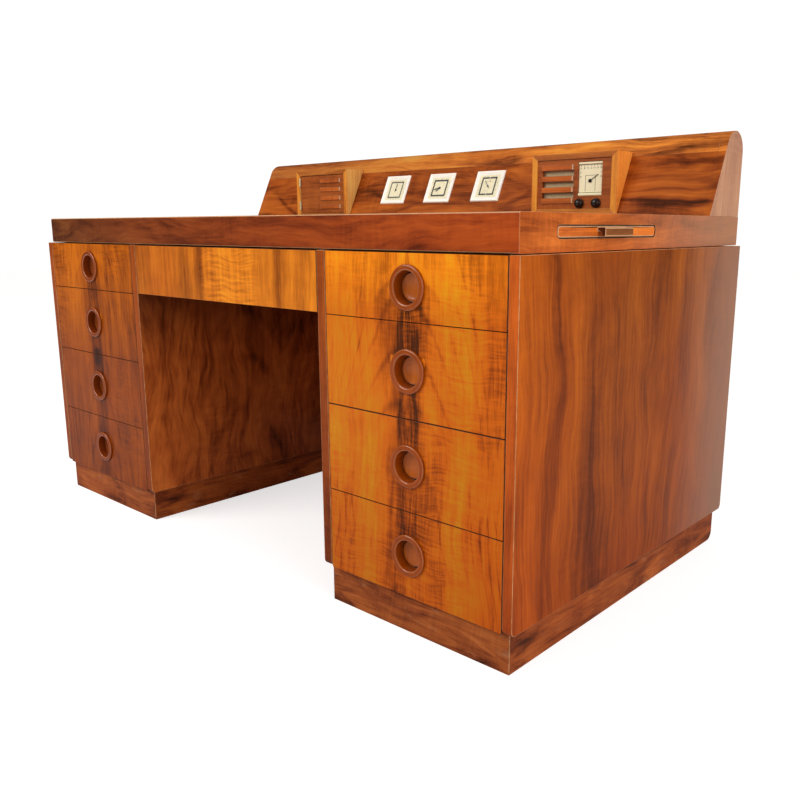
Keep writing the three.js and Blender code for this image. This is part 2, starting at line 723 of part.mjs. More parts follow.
// Square bezel, dial and round can in one, in the frame of its place on the face.
function gaugeCase() {
  const half = [GAUGE_WIDTH / 2, GAUGE_HEIGHT / 2];
  const shape = roundedRectangle(
    -half[0] + BEZEL_SLOPE,
    half[0] - BEZEL_SLOPE,
    -half[1] + BEZEL_SLOPE,
    half[1] - BEZEL_SLOPE,
    1.5,
  );
  const bezel = new THREE.ExtrudeGeometry(shape, {
    depth: 1,
    bevelEnabled: true,
    bevelSegments: 1,
    bevelThickness: BEZEL_PROUD - 1 - SEAM,
    bevelSize: BEZEL_SLOPE,
    curveSegments: 2,
  });
  bezel.translate(0, 0, SEAM + 0.5);
  const keep = block([-half[0], half[0]], [-half[1], half[1]], [SEAM, BEZEL_PROUD]);
  const square = surface(solid(bezel).intersect(solid(keep)));
  const [wide, tall] = WINDOW_HALF;
  const window = block([-wide, wide], [-tall, tall], [DIAL_LEVEL, BEZEL_PROUD + 1]);
  const can = barOnZ(GAUGE_CAN, -GAUGE_DEPTH, 1, 0, 0, GAUGE_SIDES);
  const arborHole = barOnZ(ARBOR_HOLE, -8, 3, 0, 0);
  return cut(joined(square, can), window, arborHole);
}

// A flat hand on an arbor. The blade points at angle, counted anticlockwise from +X.
function hand(length, tail, width, level, angle, tip) {
  const shoulder = length * 0.72;
  const tailHalf = width * 0.35;
  const blade = outline([
    [-tail, -tailHalf],
    [shoulder, -width / 2],
    [length, -tip],
    [length, tip],
    [shoulder, width / 2],
    [-tail, tailHalf],
  ]);
  const flat = new THREE.ExtrudeGeometry(blade, { depth: HAND_THICK, bevelEnabled: false });
  flat.rotateZ(THREE.MathUtils.degToRad(angle));
  flat.translate(0, 0, level);
  return flat;
}

function minuteHand() {
  const blade = hand(21, 4, 2.6, 3.5, READINGS.minute, 0.5);
  return joined(blade, barOnZ(2.2, 3.2, 4.4, 0, 0), barOnZ(0.9, -4, 3.6, 0, 0));
}

function hourHand() {
  const blade = hand(14, 2, 3.2, 2.3, READINGS.hour, 0.8);
  const hub = joined(blade, barOnZ(2, -3, 2.9, 0, 0));
  return cut(hub, barOnZ(1.15, -4, 4, 0, 0));
}

function pointerHand(length, tail, angle) {
  const blade = hand(length, tail, 1.5, 2.6, angle, 0.25);
  return joined(blade, barOnZ(2, 2.2, 3.6, 0, 0), barOnZ(1.4, -4, 3, 0, 0));
}

// ---------------------------------------------------------------- the desk

for (const [side, handed] of [[-1, 'left'], [1, 'right']]) {
  pedestal(side, handed);
  for (let number = 1; number < DRAWER_JOINTS.length; number += 1) {
    pedestalDrawer(side, handed, number);
  }
}
centreDrawer();
modestyPanel();
desktop();
writingSlide();

const thermometer = gaugeGroup(-GAUGE_PITCH);
const clock = gaugeGroup(0);
const barometer = gaugeGroup(GAUGE_PITCH);
gallery([thermometer, clock, barometer]);
cupboard();
radio();

for (const [name, group] of Object.entries({ thermometer, clock, barometer })) {
  piece(`${name}_case`, gaugeCase(), materials.chrome, group);
}
const temperature = pointerHand(20, 8, READINGS.thermometer);
const pressure = pointerHand(20, 9, READINGS.barometer);
piece('thermometer_hand', temperature, materials.black, thermometer);
piece('hour_hand', hourHand(), materials.black, clock);
piece('minute_hand', minuteHand(), materials.black, clock);
piece('barometer_hand', pressure, materials.black, barometer);

// The slide's grip stands out past the right pedestal, and the pulls past the fronts.
desk.position.x = -(TOP_HALF + GRIP_PROUD - HALF_WIDTH) / 2;
desk.position.y = -(DEPTH - PULL_PROUD) / 2;

export default desk;
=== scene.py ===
import json
import math

import bmesh
import bpy
from mathutils import Matrix, Vector


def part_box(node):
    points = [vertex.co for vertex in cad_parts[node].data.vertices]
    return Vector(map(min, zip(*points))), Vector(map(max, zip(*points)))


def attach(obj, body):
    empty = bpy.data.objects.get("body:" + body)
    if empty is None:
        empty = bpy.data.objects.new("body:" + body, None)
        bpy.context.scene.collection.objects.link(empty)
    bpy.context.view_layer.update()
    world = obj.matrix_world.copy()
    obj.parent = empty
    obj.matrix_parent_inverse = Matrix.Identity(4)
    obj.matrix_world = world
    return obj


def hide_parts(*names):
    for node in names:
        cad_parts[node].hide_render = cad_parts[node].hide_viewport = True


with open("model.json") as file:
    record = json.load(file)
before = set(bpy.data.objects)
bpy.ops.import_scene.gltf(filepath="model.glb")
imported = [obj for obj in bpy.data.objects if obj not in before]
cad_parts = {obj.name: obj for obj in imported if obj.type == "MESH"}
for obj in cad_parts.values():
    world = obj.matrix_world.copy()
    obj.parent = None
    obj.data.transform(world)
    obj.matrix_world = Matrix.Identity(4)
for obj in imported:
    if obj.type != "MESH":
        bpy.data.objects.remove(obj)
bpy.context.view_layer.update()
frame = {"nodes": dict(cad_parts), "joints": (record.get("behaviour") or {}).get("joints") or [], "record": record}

scene = bpy.context.scene
MM = 0.001

record = frame["record"]
home = {node: body for body, members in record["behaviour"]["bodies"].items() for node in members}
finish_of = {part["node"]: part["material_slot"] for part in record["subparts"]}
joint_of = {joint["name"]: joint for joint in frame["joints"]}

# Desk millimetres: x from the middle of the slab, y from the drawer fronts, z from the floor.
slab_low, slab_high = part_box("desktop")
MIDDLE = (slab_low.x + slab_high.x) / 2
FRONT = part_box("centre_drawer_front")[0].y


def at(x, y, z):
    return Vector((MIDDLE + x * MM, FRONT + y * MM, z * MM))


# -------------------- materials

def srgb(text):
    """Linear colour from a six-digit sRGB code."""
    parts = [int(text[i:i + 2], 16) / 255 for i in (0, 2, 4)]
    linear = [c / 12.92 if c <= 0.04045 else ((c + 0.055) / 1.055) ** 2.4 for c in parts]
    return (*linear, 1.0)


class Tree:
    """A node tree, with one short call for each kind of node."""

    def __init__(self, tree):
        self.tree = tree
        self.tree.nodes.clear()

    def node(self, kind, settings=None, inputs=None):
        node = self.tree.nodes.new("ShaderNode" + kind)
        for key, value in (settings or {}).items():
            setattr(node, key, value)
        for key, value in (inputs or {}).items():
            self.put(node.inputs[key], value)
        return node

    def put(self, socket, value):
        if isinstance(value, bpy.types.NodeSocket):
            self.tree.links.new(value, socket)
        elif value is not None:
            socket.default_value = value

    def math(self, operation, a, b=None, c=None, clamp=False):
        settings = {"operation": operation, "use_clamp": clamp}
        return self.node("Math", settings, {0: a, 1: b, 2: c}).outputs[0]

    def add(self, a, b):
        return self.math("ADD", a, b)

    def times(self, a, b):
        return self.math("MULTIPLY", a, b)

    def affine(self, a, factor, offset):
        return self.math("MULTIPLY_ADD", a, factor, offset)

    def reach(self, value, low, high, out_low=0.0, out_high=1.0, kind="LINEAR"):
        settings = {"interpolation_type": kind, "clamp": True}
        if kind != "LINEAR":
            settings.pop("clamp")
        node = self.node("MapRange", settings, {0: value, 1: low, 2: high, 3: out_low, 4: out_high})
        return node.outputs[0]

    def vector(self, x, y, z):
        return self.node("CombineXYZ", None, {0: x, 1: y, 2: z}).outputs[0]

    def noise(self, vector, scale=1.0, detail=2.0, rough=0.5, distortion=0.0):
        inputs = {"Vector": vector, "Scale": scale, "Detail": detail, "Roughness": rough,
                  "Distortion": distortion}
        return self.node("TexNoise", None, inputs).outputs[0]

    def place(self):
        return self.node("TexCoord").outputs["Object"]

    def split(self, vector):
        return self.node("SeparateXYZ", None, {0: vector}).outputs

    def ramp(self, value, stops, kind="LINEAR"):
        node = self.node("ValToRGB", None, {0: value})
        ramp = node.color_ramp
        ramp.interpolation = kind
        while len(ramp.elements) < len(stops):
            ramp.elements.new(0.5)
        for element, (position, color) in zip(ramp.elements, stops):
            element.position = position
            element.color = color if len(color) == 4 else (*color, 1)
        return node.outputs[0]

    def curve(self, value, stops, kind="EASE"):
        """A grey ramp: a number for each position."""
        return self.ramp(value, [(p, (v, v, v, 1)) for p, v in stops], kind)

    def mix(self, factor, a, b, blend="MIX"):
        settings = {"data_type": "RGBA", "blend_type": blend}
        return self.node("Mix", settings, {0: factor, 6: a, 7: b}).outputs[2]

    def bump(self, height, distance, strength=1.0):
        inputs = {"Height": height, "Distance": distance, "Strength": strength}
        return self.node("Bump", None, inputs).outputs[0]


class Graph(Tree):
    """The node tree of a new material with one principled shader."""

    def __init__(self, name):
        self.material = bpy.data.materials.new(name)
        self.material.use_nodes = True
        super().__init__(self.material.node_tree)
        self.shader = self.node("BsdfPrincipled")
        self.node("OutputMaterial", None, {0: self.shader.outputs[0]})

    def set(self, **inputs):
        for key, value in inputs.items():
            self.put(self.shader.inputs[key.replace("_", " ")], value)


AXES = {"x": 0, "y": 1, "z": 2}
TURN = 6.2832

# How far each of five tones lies from a board's mean colour, darkest first (linear light).
SPREAD = ((0.18, 0.17, 0.18), (0.52, 0.45, 0.50), (0.96, 0.94, 0.95), (1.30, 1.42, 1.35), (1.60, 1.95, 2.1))
TONE_PLACES = (0.0, 0.25, 0.5, 0.75, 1.0)
BRIGHTEST = 0.95

# Frequencies per metre across and along the grain, and the weights of what they draw.
FIBRE = (1400.0, 30.0)
FIBRE_WEIGHT = 0.32
FIBRE_RELIEF = 0.00006
PORES = (2600.0, 120.0)
PORE_WEIGHT = 0.45
RED_PATCH = (0.90, 0.66, 0.5, 1)
RED_WEIGHT = 0.4
SCUFF = "b98a63"
LACQUER_ROUGHNESS = 0.14


def tones_of(mean, contrast=1.0):
    base = srgb(mean)[:3]
    tones = []
    for factors in SPREAD:
        tones.append((*(min(BRIGHTEST, c * (1 + (f - 1) * contrast)) for c, f in zip(base, factors)), 1.0))
    return tones


def veneer(name, across, along, mean, seed=0.0, swirl=0.03, level=0.5, bands=(9.0, 0.9, 0.7),
           streaks=(130.0, 2.2, 0.5), ripple=(14.0, 150.0, 0.12), blotch=0.25, curl=0.0, contrast=1.0,
           arches=None, core=None, shade=None, gloss=0.33, polish=0.11, coat=0.03, wear=0.0):
    """Lacquered walnut. across and along name the axes of the surface; seed moves the figure.

    bands, streaks and ripple are a frequency across, a frequency along (per metre) and a weight.
    """
    g = Graph(name)
    parts = g.split(g.place())
    third = ({"x", "y", "z"} - {across, along}).pop()
    a, l, t = (parts[AXES[axis]] for axis in (across, along, third))
    drift = g.noise(g.vector(g.affine(a, 3.0, seed), g.times(l, 1.6), g.times(t, 2.0)), 1.0, 2.0)
    sway = g.noise(g.vector(g.affine(a, 9.0, seed + 4), g.times(l, 7.0), t), 1.0, 2.0)
    bent = g.add(g.affine(drift, swirl * 2, -swirl), a)
    bent = g.add(g.affine(sway, swirl * 0.5, -swirl * 0.25), bent)
    value = level
    wide = g.noise(g.vector(g.times(bent, bands[0]), g.times(l, bands[1]), seed), 1.0, 4.0, 0.6, curl)
    value = g.affine(g.add(wide, -0.5), bands[2] * 2, value)
    lines = g.noise(g.vector(g.times(bent, streaks[0]), g.times(l, streaks[1]), seed + 7), 1.0, 4.0, 0.7)
    value = g.affine(g.add(lines, -0.5), streaks[2] * 1.6, value)
    if arches:
        value = g.add(value, nested(g, a, l, arches, drift, sway))
    mottle = g.noise(g.vector(g.affine(a, 16.0, seed), g.times(l, 16.0), t), 1.0, 3.0, 0.6)
    value = g.affine(g.add(mottle, -0.5), blotch, value)
    curve = g.affine(sway, 9.0, g.times(l, ripple[1]))
    cross = g.noise(g.vector(g.affine(a, ripple[0], seed), curve, t), 1.0, 2.0)
    patch = g.noise(g.vector(g.affine(a, 5.0, seed + 2), g.times(l, 3.0), t), 1.0, 1.0)
    cross = g.times(g.add(cross, -0.5), g.reach(patch, 0.42, 0.62))
    value = g.affine(cross, ripple[2] * 3, value)
    if core:
        value = core(g, value, a, l, drift, sway)
    fibre = g.noise(g.vector(g.times(bent, FIBRE[0]), g.times(l, FIBRE[1]), seed), 1.0, 2.0)
    value = g.affine(g.add(fibre, -0.5), FIBRE_WEIGHT, value)
    pores = g.noise(g.vector(g.times(bent, PORES[0]), g.times(l, PORES[1]), seed + 3), 1.0, 1.0)
    pore = g.reach(pores, 0.32, 0.20)
    tones = tones_of(mean, contrast)
    color = g.ramp(value, list(zip(TONE_PLACES, tones)))
    warmth = g.noise(g.vector(g.affine(a, 6.0, seed + 9), g.times(l, 2.2), t), 1.0, 1.0)
    color = g.mix(g.reach(warmth, 0.5, 0.7, 0.0, RED_WEIGHT), color, RED_PATCH, "MULTIPLY")
    color = g.mix(g.times(pore, PORE_WEIGHT), color, tones[0])
    # shade paints slow changes of light, shade and sheen into the colour.
    if shade:
        color = shade(g, color, parts)
    rough = g.add(g.affine(mottle, 0.16, gloss - 0.08), g.times(pore, 0.12))
    if wear:
        rubbed = g.noise(g.vector(g.times(a, 40.0), g.times(l, 12.0), g.times(t, 20.0)), 1.0, 4.0, 0.7)
        scuff = g.reach(rubbed, 0.60, 0.7)
        color = g.mix(g.times(scuff, wear), color, srgb(SCUFF))
        rough = g.add(rough, g.times(scuff, 0.2))
    g.set(Base_Color=color, Roughness=rough, Specular_IOR_Level=polish)
    g.set(Coat_Weight=coat, Coat_Roughness=LACQUER_ROUGHNESS)
    g.set(Normal=g.bump(g.add(fibre, g.times(pore, -1.5)), FIBRE_RELIEF, 0.6))
    return g.material


def nested(g, a, l, arches, drift, sway):
    """Nested growth lines that open downward from the apex, as flat-sawn veneer shows them.

    arches is the middle line, the apex's height, the lines' width and rise, and their weight.
    """
    centre, apex, width, rise, weight = arches
    off = g.add(g.affine(drift, 0.10, -0.05), g.add(a, -centre))
    off = g.add(g.affine(sway, 0.012, -0.006), off)
    below = g.math("SUBTRACT", apex, l)
    phase = g.math("SUBTRACT", g.times(g.times(off, off), width), g.times(below, rise))
    phase = g.add(phase, g.times(drift, 1.5))
    wave = g.math("SINE", g.times(phase, TURN))
    line = g.math("POWER", g.affine(wave, 0.5, 0.5), 9.0)
    fade = g.reach(g.noise(g.vector(g.times(a, 14.0), g.times(l, 7.0), weight), 1.0, 2.0), 0.40, 0.66)
    return g.times(g.times(line, fade), -weight)


def arris(name, tone, amount=0.6, coat=0.1):
    """The edge of a veneered board: paler, partly rubbed wear and partly a painted highlight, with breaks where
    the polish is whole.
    """
    g = Graph(name)
    place = g.place()
    rub = g.noise(place, 60.0, 3.0, 0.6)
    grain = g.noise(place, 700.0, 2.0)
    color = g.mix(g.reach(rub, 0.36, 0.62, amount * 0.3, amount), srgb(tone), srgb("f0b683"))
    color = g.mix(g.times(grain, 0.3), color, srgb("5a2a14"))
    g.set(Base_Color=color, Roughness=g.affine(rub, 0.3, 0.25), Specular_IOR_Level=0.15, Coat_Weight=coat,
          Coat_Roughness=0.09)
    g.set(Normal=g.bump(grain, 0.0001, 0.5))
    return g.material


def falling(low, high, dark, bright=(1, 1, 1, 1), axis=2):
    """A slow change of tone across a surface, between two places on one axis: painted light and shade."""
    def shade(g, color, parts):
        tone = g.mix(g.reach(parts[axis], low, high), dark, bright)
        return g.mix(1.0, color, tone, "MULTIPLY")
    return shade


def fading(low, high, tone, amount, axis=1):
    """A painted sheen towards one end of a board: the colour mixed towards a pale tone."""
    def shade(g, color, parts):
        return g.mix(g.reach(parts[axis], low, high, 0.0, amount, "SMOOTHSTEP"), color, srgb(tone))
    return shade


def both(first, second):
    def shade(g, color, parts):
        return second(g, first(g, color, parts), parts)
    return shade


# Grey ramps: how strong the heart is from toe to top, and the tone outwards from the middle line.
HEART_UP = [(0.10, 0.35), (0.30, 0.50), (0.42, 0.40), (0.52, 0.85), (0.60, 1.0), (0.66, 0.75), (0.78, 0.9),
            (0.88, 1.0), (0.96, 0.55)]
FLANK_OUT = [(0.14, 0.42), (0.2, 0.40), (0.28, 0.46), (0.36, 0.40), (0.44, 0.54), (0.60, 0.55), (0.8, 0.50),
             (1.0, 0.46)]
EYE_SHADE = [(0.0, 0.4), (0.3, 0.3), (0.42, 0.0), (0.6, 0.0)]
HEART_TOP = 0.7
FLANK_REACH = 0.21
RAIL_OUT = 0.021
RAIL_WIDTH = 0.0055
EYE_OUT = 0.036
EYE_WIDTH = 0.0055
EYE_HEIGHT = 0.010
NESTED_APEX = 0.75


def bookmatch(centre, apex, eye):
    """The matched figure of a pedestal: a dark heart that mirrors about its middle line."""
    def core(g, value, a, l, drift, sway):
        off = g.math("ABSOLUTE", g.add(a, -centre))
        wander = g.noise(g.vector(g.times(off, 6.0), g.times(l, 7.0), centre * 3), 1.0, 2.0)
        off = g.add(off, g.affine(wander, 0.028, -0.014))
        taper = g.reach(g.math("SUBTRACT", apex, l), 0.0, 0.085, 0.10, 1.0, "SMOOTHSTEP")
        width = g.math("DIVIDE", off, taper)
        strength = g.curve(g.times(l, 1 / HEART_TOP), HEART_UP)
        near = g.reach(width, 0.008, 0.044, 1.0, 0.0, "SMOOTHSTEP")
        fine = g.noise(g.vector(g.times(width, 240.0), g.times(l, 9.0), 2.0), 1.0, 4.0, 0.7)
        patch = g.noise(g.vector(g.times(width, 20.0), g.times(l, 14.0), centre), 1.0, 3.0, 0.6)
        heart = g.affine(g.add(fine, -0.54), 1.7, g.affine(g.add(patch, -0.55), 1.3, -0.12))
        rail = g.times(g.add(width, -RAIL_OUT), 1 / RAIL_WIDTH)
        rail = g.math("EXPONENT", g.times(g.times(rail, rail), -1.0))
        flank = g.curve(g.times(width, 1 / FLANK_REACH), FLANK_OUT)
        dx = g.times(g.add(off, -EYE_OUT), 1 / EYE_WIDTH)
        dz = g.times(g.add(l, -eye), 1 / EYE_HEIGHT)
        ring = g.math("SQRT", g.add(g.times(dx, dx), g.times(dz, dz)))
        spot = g.curve(g.times(ring, 0.4), EYE_SHADE)
        value = g.add(value, g.times(g.times(near, strength), heart))
        value = g.add(value, g.times(g.times(rail, strength), -0.15))
        value = g.add(value, g.times(g.add(flank, -0.5), 0.9))
        arches = (centre, NESTED_APEX, 150.0, 10.0, 0.18)
        lines = nested(g, g.add(off, centre), l, arches, drift, sway)
        return g.add(g.add(value, spot), lines)
    return core


CENTRE_HALF = 0.33
FLAMES = [(0.0, 0.42), (0.22, 0.50), (0.36, 0.46), (0.40, 0.16), (0.44, 0.58), (0.58, 0.66), (0.70, 0.52),
          (0.80, 0.50), (0.83, 0.22), (0.87, 0.58), (0.97, 0.48)]
RIPPLED = [(0.38, 0.0), (0.46, 1.0), (0.66, 1.0), (0.76, 0.0)]


def flamed(g, value, a, l, drift, sway):
    """The centre drawer's figure: dark streaks either side of a bright, rippled band."""
    bent = g.add(a, g.affine(drift, 0.05, -0.025))
    across = g.times(g.add(bent, CENTRE_HALF), 0.5 / CENTRE_HALF)
    value = g.add(value, g.times(g.add(g.curve(across, FLAMES), -0.5), 0.8))
    waves = g.noise(g.vector(g.times(a, 16.0), g.affine(sway, 6.0, g.times(l, 150.0)), 3.0), 1.0, 2.0)
    return g.add(value, g.times(g.times(g.add(waves, -0.5), g.curve(across, RIPPLED)), 0.9))


# The gallery's smoky streaks: start and end along it, height at the start, slope and weight.
SMOKE = ((0.50, 0.80, 0.802, -0.05, 0.42), (0.58, 0.80, 0.785, -0.02, 0.25),
         (-0.72, -0.52, 0.84, -0.45, 0.40), (0.56, 0.80, 0.868, 0.06, 0.22),
         (-0.30, -0.05, 0.845, -0.20, 0.25), (0.20, 0.36, 0.800, 0.10, 0.20))
SMOKE_WIDTH = 0.0065


def smoky(g, value, a, l, _drift, sway):
    """The gallery's figure: dark smoky streaks near its two ends."""
    for start, end, height, slope, weight in SMOKE:
        middle = g.affine(g.add(l, -start), slope, height)
        off = g.add(g.math("SUBTRACT", a, middle), g.affine(sway, 0.03, -0.015))
        off = g.times(off, 1 / SMOKE_WIDTH)
        streak = g.math("EXPONENT", g.times(g.times(off, off), -1.0))
        within = g.times(g.reach(l, start, start + 0.05), g.reach(l, end, end - 0.04))
        value = g.add(value, g.times(g.times(streak, within), -weight))
    return value


def plain(name, tone, rough=0.4, metallic=0.0, speckle=0.06, scale=300.0, coat=0.0, bump=0.00004, polish=0.5,
          glow=0.0):
    """A painted, moulded or metal surface with a fine variation of tone and polish."""
    g = Graph(name)
    place = g.place()
    cloud = g.noise(place, scale * 0.15, 3.0, 0.6)
    grain = g.noise(place, scale, 2.0)
    dark = tuple(c * (1 - 2 * speckle) for c in srgb(tone)[:3]) + (1,)
    color = g.mix(g.reach(cloud, 0.35, 0.65), dark, srgb(tone))
    if glow:
        g.set(Emission_Color=srgb(tone), Emission_Strength=glow)
    g.set(Base_Color=color, Roughness=g.affine(cloud, 0.16, rough - 0.08), Metallic=metallic)
    g.set(Coat_Weight=coat, Coat_Roughness=0.08, Specular_IOR_Level=polish)
    g.set(Normal=g.bump(grain, bump, 0.5))
    return g.material


def turned_wood(name, mean, gloss, coat):
    """Polished end- and side-grain of a turned ring: the grain runs up the drawer front."""
    return veneer(name, "x", "z", mean, seed=11.0, swirl=0.01, bands=(60.0, 8.0, 0.35), blotch=0.2,
                  streaks=(420.0, 18.0, 0.3), ripple=(40.0, 300.0, 0.05), contrast=0.7, gloss=gloss,
                  polish=0.15, coat=coat)


THREAD = 0.0016


def weave(name):
    """Loudspeaker cloth: threads over and under, with flecks."""
    g = Graph(name)
    x, _, z = g.split(g.place())
    warp = g.math("SINE", g.times(x, TURN / THREAD))
    weft = g.math("SINE", g.times(z, TURN / THREAD))
    thread = g.times(warp, weft)
    fleck = g.noise(g.vector(g.times(x, 700.0), 0.0, g.times(z, 260.0)), 1.0, 2.0)
    color = g.mix(g.reach(thread, -0.7, 0.7), srgb("b89c6c"), srgb("f0dcae"))
    color = g.mix(g.reach(fleck, 0.56, 0.66, 0.0, 0.6), color, srgb("5f4a30"))
    g.set(Base_Color=color, Roughness=0.85, Sheen_Weight=0.3, Normal=g.bump(thread, 0.0003, 0.8))
    return g.material


def clear_glass(name):
    g = Graph(name)
    smear = g.noise(g.place(), 40.0, 2.0)
    g.set(Base_Color=srgb("f4f7f5"), Roughness=g.affine(smear, 0.04, 0.01), Alpha=0.05, IOR=1.5)
    return g.material


PEDESTAL_MIDDLE = {"left": at(-559, 0, 0).x, "right": at(559, 0, 0).x}
HEART_APEX = 0.690
EYE_AT = 0.512
TOP_ROW = (0.585, 0.675)
# Painted shade: the fronts grow darker from the top drawer down towards the toe.
TOP_TO_TOE = {
    "left": falling(0.40, 0.70, (0.52, 0.42, 1.0, 1)),
    "right": both(falling(*TOP_ROW, (0.73, 0.58, 0.85, 1)), falling(0.10, 0.50, (0.82, 0.74, 0.85, 1))),
}
# The left pedestal's mean is a darker copy of the right's: painted shade.
FRONT_MEAN = {"left": "c36306", "right": "ff8c0e"}

fronts = {
    hand: veneer(f"walnut_front_{hand}", "x", "z", FRONT_MEAN[hand], seed=seed, swirl=0.030, level=0.52,
                 bands=(10.0, 1.4, 0.62), streaks=(110.0, 6.0, 0.50), ripple=(24.0, 230.0, 0.18),
                 core=bookmatch(PEDESTAL_MIDDLE[hand], HEART_APEX, EYE_AT), shade=TOP_TO_TOE[hand],
                 blotch=0.42, curl=0.5, contrast=1.08)
    for hand, seed in (("left", 21.0), ("right", 3.0))
}
# Painted shade: the centre drawer grows darker towards its left end.
centre_veneer = veneer("walnut_centre_drawer", "x", "z", "d87818", seed=5.0, swirl=0.03, level=0.53,
                       bands=(10.0, 1.6, 0.45), streaks=(90.0, 5.0, 0.45), ripple=(12.0, 130.0, 0.03),
                       core=flamed, shade=falling(-0.34, 0.1, (0.72, 0.66, 0.9, 1), axis=0),
                       blotch=0.3, contrast=1.1)
# Painted light, shade and sheen: brighter towards the front end, darker and redder towards the bottom, and mixed
# towards a pinkish grey towards the rear.
side_veneer = veneer("walnut_side", "y", "z", "9c4808", seed=8.0, swirl=0.08, level=0.50, curl=0.9,
                     bands=(11.0, 1.8, 0.62), streaks=(120.0, 3.0, 0.5), ripple=(16.0, 110.0, 0.05),
                     shade=both(both(falling(-0.42, -0.2, (1.42, 1.3, 1.0, 1), axis=1),
                                     falling(0.1, 0.65, (0.95, 0.84, 0.7, 1), (1.0, 1.10, 1.2, 1))),
                                fading(0.08, 0.46, "a8806a", 0.75)))
# Painted shade: darker towards the back and towards the top, under the centre drawer.
knee_veneer = veneer("walnut_kneehole", "y", "z", "bb5d26", seed=31.0, swirl=0.12, bands=(8.0, 2.4, 0.8),
                     streaks=(80.0, 5.0, 0.6), arches=(at(0, 300, 0).y, 0.9, 70.0, 7.0, 0.22),
                     level=0.53, curl=1.8, blotch=0.5,
                     shade=both(falling(-0.4, 0.4, (1, 1, 1, 1), (0.45, 0.44, 0.6, 1), axis=1),
                                falling(0.42, 0.60, (1, 1, 1, 1), (0.25, 0.27, 0.5, 1))))
# Painted shade: the edge strips grow darker towards the bottom.
EDGE = {"swirl": 0.01, "bands": (20.0, 3.0, 0.5), "streaks": (260.0, 6.0, 0.4),
        "shade": falling(0.08, 0.66, (0.66, 0.6, 0.8, 1))}
# A darker copy of the edge strip for the left pedestal and the kneehole: painted shade.
shaded_edge_strip = veneer("walnut_edge_left_shaded", "x", "z", "a54c12", seed=15.0, **EDGE)
edge_veneer = veneer("walnut_edge_strip", "x", "z", "d8641a", seed=14.0, level=0.48, **EDGE)
PLINTH = {"swirl": 0.02, "curl": 1.0, "bands": (30.0, 5.0, 1.0), "streaks": (200.0, 5.0, 0.5), "gloss": 0.5,
          "blotch": 0.6}
plinth_x = veneer("walnut_plinth_front", "z", "x", "964a20", seed=17.0, wear=0.4, **PLINTH)
plinth_y = veneer("walnut_plinth_side", "z", "y", "9a4a1e", seed=19.0, wear=0.3, **PLINTH)
# Painted light and shade: darker and cooler towards the left end, brighter and warmer towards the right.
slab_front = veneer("walnut_slab_front", "z", "x", "7a3411", seed=23.0, swirl=0.06, level=0.47, curl=1.2,
                    bands=(20.0, 3.0, 0.8), streaks=(120.0, 8.0, 0.6), contrast=0.9,
                    shade=falling(-0.8, 0.75, (0.72, 1.15, 1.9, 1), (1.95, 1.6, 1.0, 1), axis=0))
# Painted sheen: pinkish grey towards the rear.
slab_end = veneer("walnut_slab_end", "z", "y", "c26022", seed=27.0, swirl=0.05, curl=0.8, blotch=0.5,
                  bands=(14.0, 3.0, 0.7), streaks=(150.0, 5.0, 0.45),
                  shade=fading(-0.2, 0.42, "bb8b6c", 0.75))
slab_top = veneer("walnut_slab_top", "y", "x", "a8521f", seed=29.0, swirl=0.06, level=0.50,
                  bands=(7.0, 0.9, 0.8), streaks=(110.0, 1.6, 0.5), gloss=0.30, polish=0.3, coat=0.2,
                  arches=(at(0, 350, 0).y, 1.2, 60.0, 2.5, 0.3))
slide_face = veneer("walnut_slide", "z", "y", "e8772a", seed=33.0, swirl=0.01, bands=(24.0, 3.0, 0.5),
                    streaks=(180.0, 4.0, 0.4))
grip_wood = veneer("walnut_grip", "z", "y", "8c5227", seed=34.0, swirl=0.01, bands=(24.0, 6.0, 0.4))
slide_top = veneer("walnut_slide_top", "y", "x", "c06a28", seed=35.0, bands=(9.0, 1.0, 0.6))
gallery_veneer = veneer("walnut_gallery_face", "z", "x", "a85118", seed=37.0, swirl=0.05, curl=1.2,
                        bands=(14.0, 3.0, 1.1), streaks=(150.0, 3.0, 0.5), core=smoky)
# Painted shade: the cap grows darker towards its left end.
cap_veneer = veneer("walnut_cap", "z", "x", "e28834", seed=41.0, swirl=0.04, curl=0.8, contrast=1.1,
                    bands=(18.0, 2.6, 0.9), streaks=(140.0, 5.0, 0.6), ripple=(10.0, 60.0, 0.03),
                    shade=falling(-0.8, 0.6, (0.52, 0.42, 0.6, 1), (1.05, 1.0, 1.0, 1), axis=0))
# Its pale pinkish-grey colour is a painted sheen over the walnut.
end_veneer = veneer("walnut_gallery_end", "y", "z", "c68f70", seed=43.0, swirl=0.03, bands=(14.0, 2.0, 0.5),
                    contrast=0.7)
# Near-black edge faces: painted shadow in the gaps round the drawer fronts, inside the slide's slot and on the
# grip's ends.
shadow_edge_faces = veneer("walnut_shadow_edge_faces", "x", "z", "5c2e18", seed=45.0, bands=(20.0, 3.0, 0.3))
STRIP = {"swirl": 0.005, "bands": (60.0, 4.0, 0.5), "streaks": (300.0, 6.0, 0.4),
         "ripple": (30.0, 200.0, 0.05)}
strip_upright = veneer("walnut_case_upright", "x", "z", "f49a38", seed=47.0, **STRIP)
strip_rail = veneer("walnut_case_rail", "z", "x", "c0702e", seed=49.0, **STRIP)
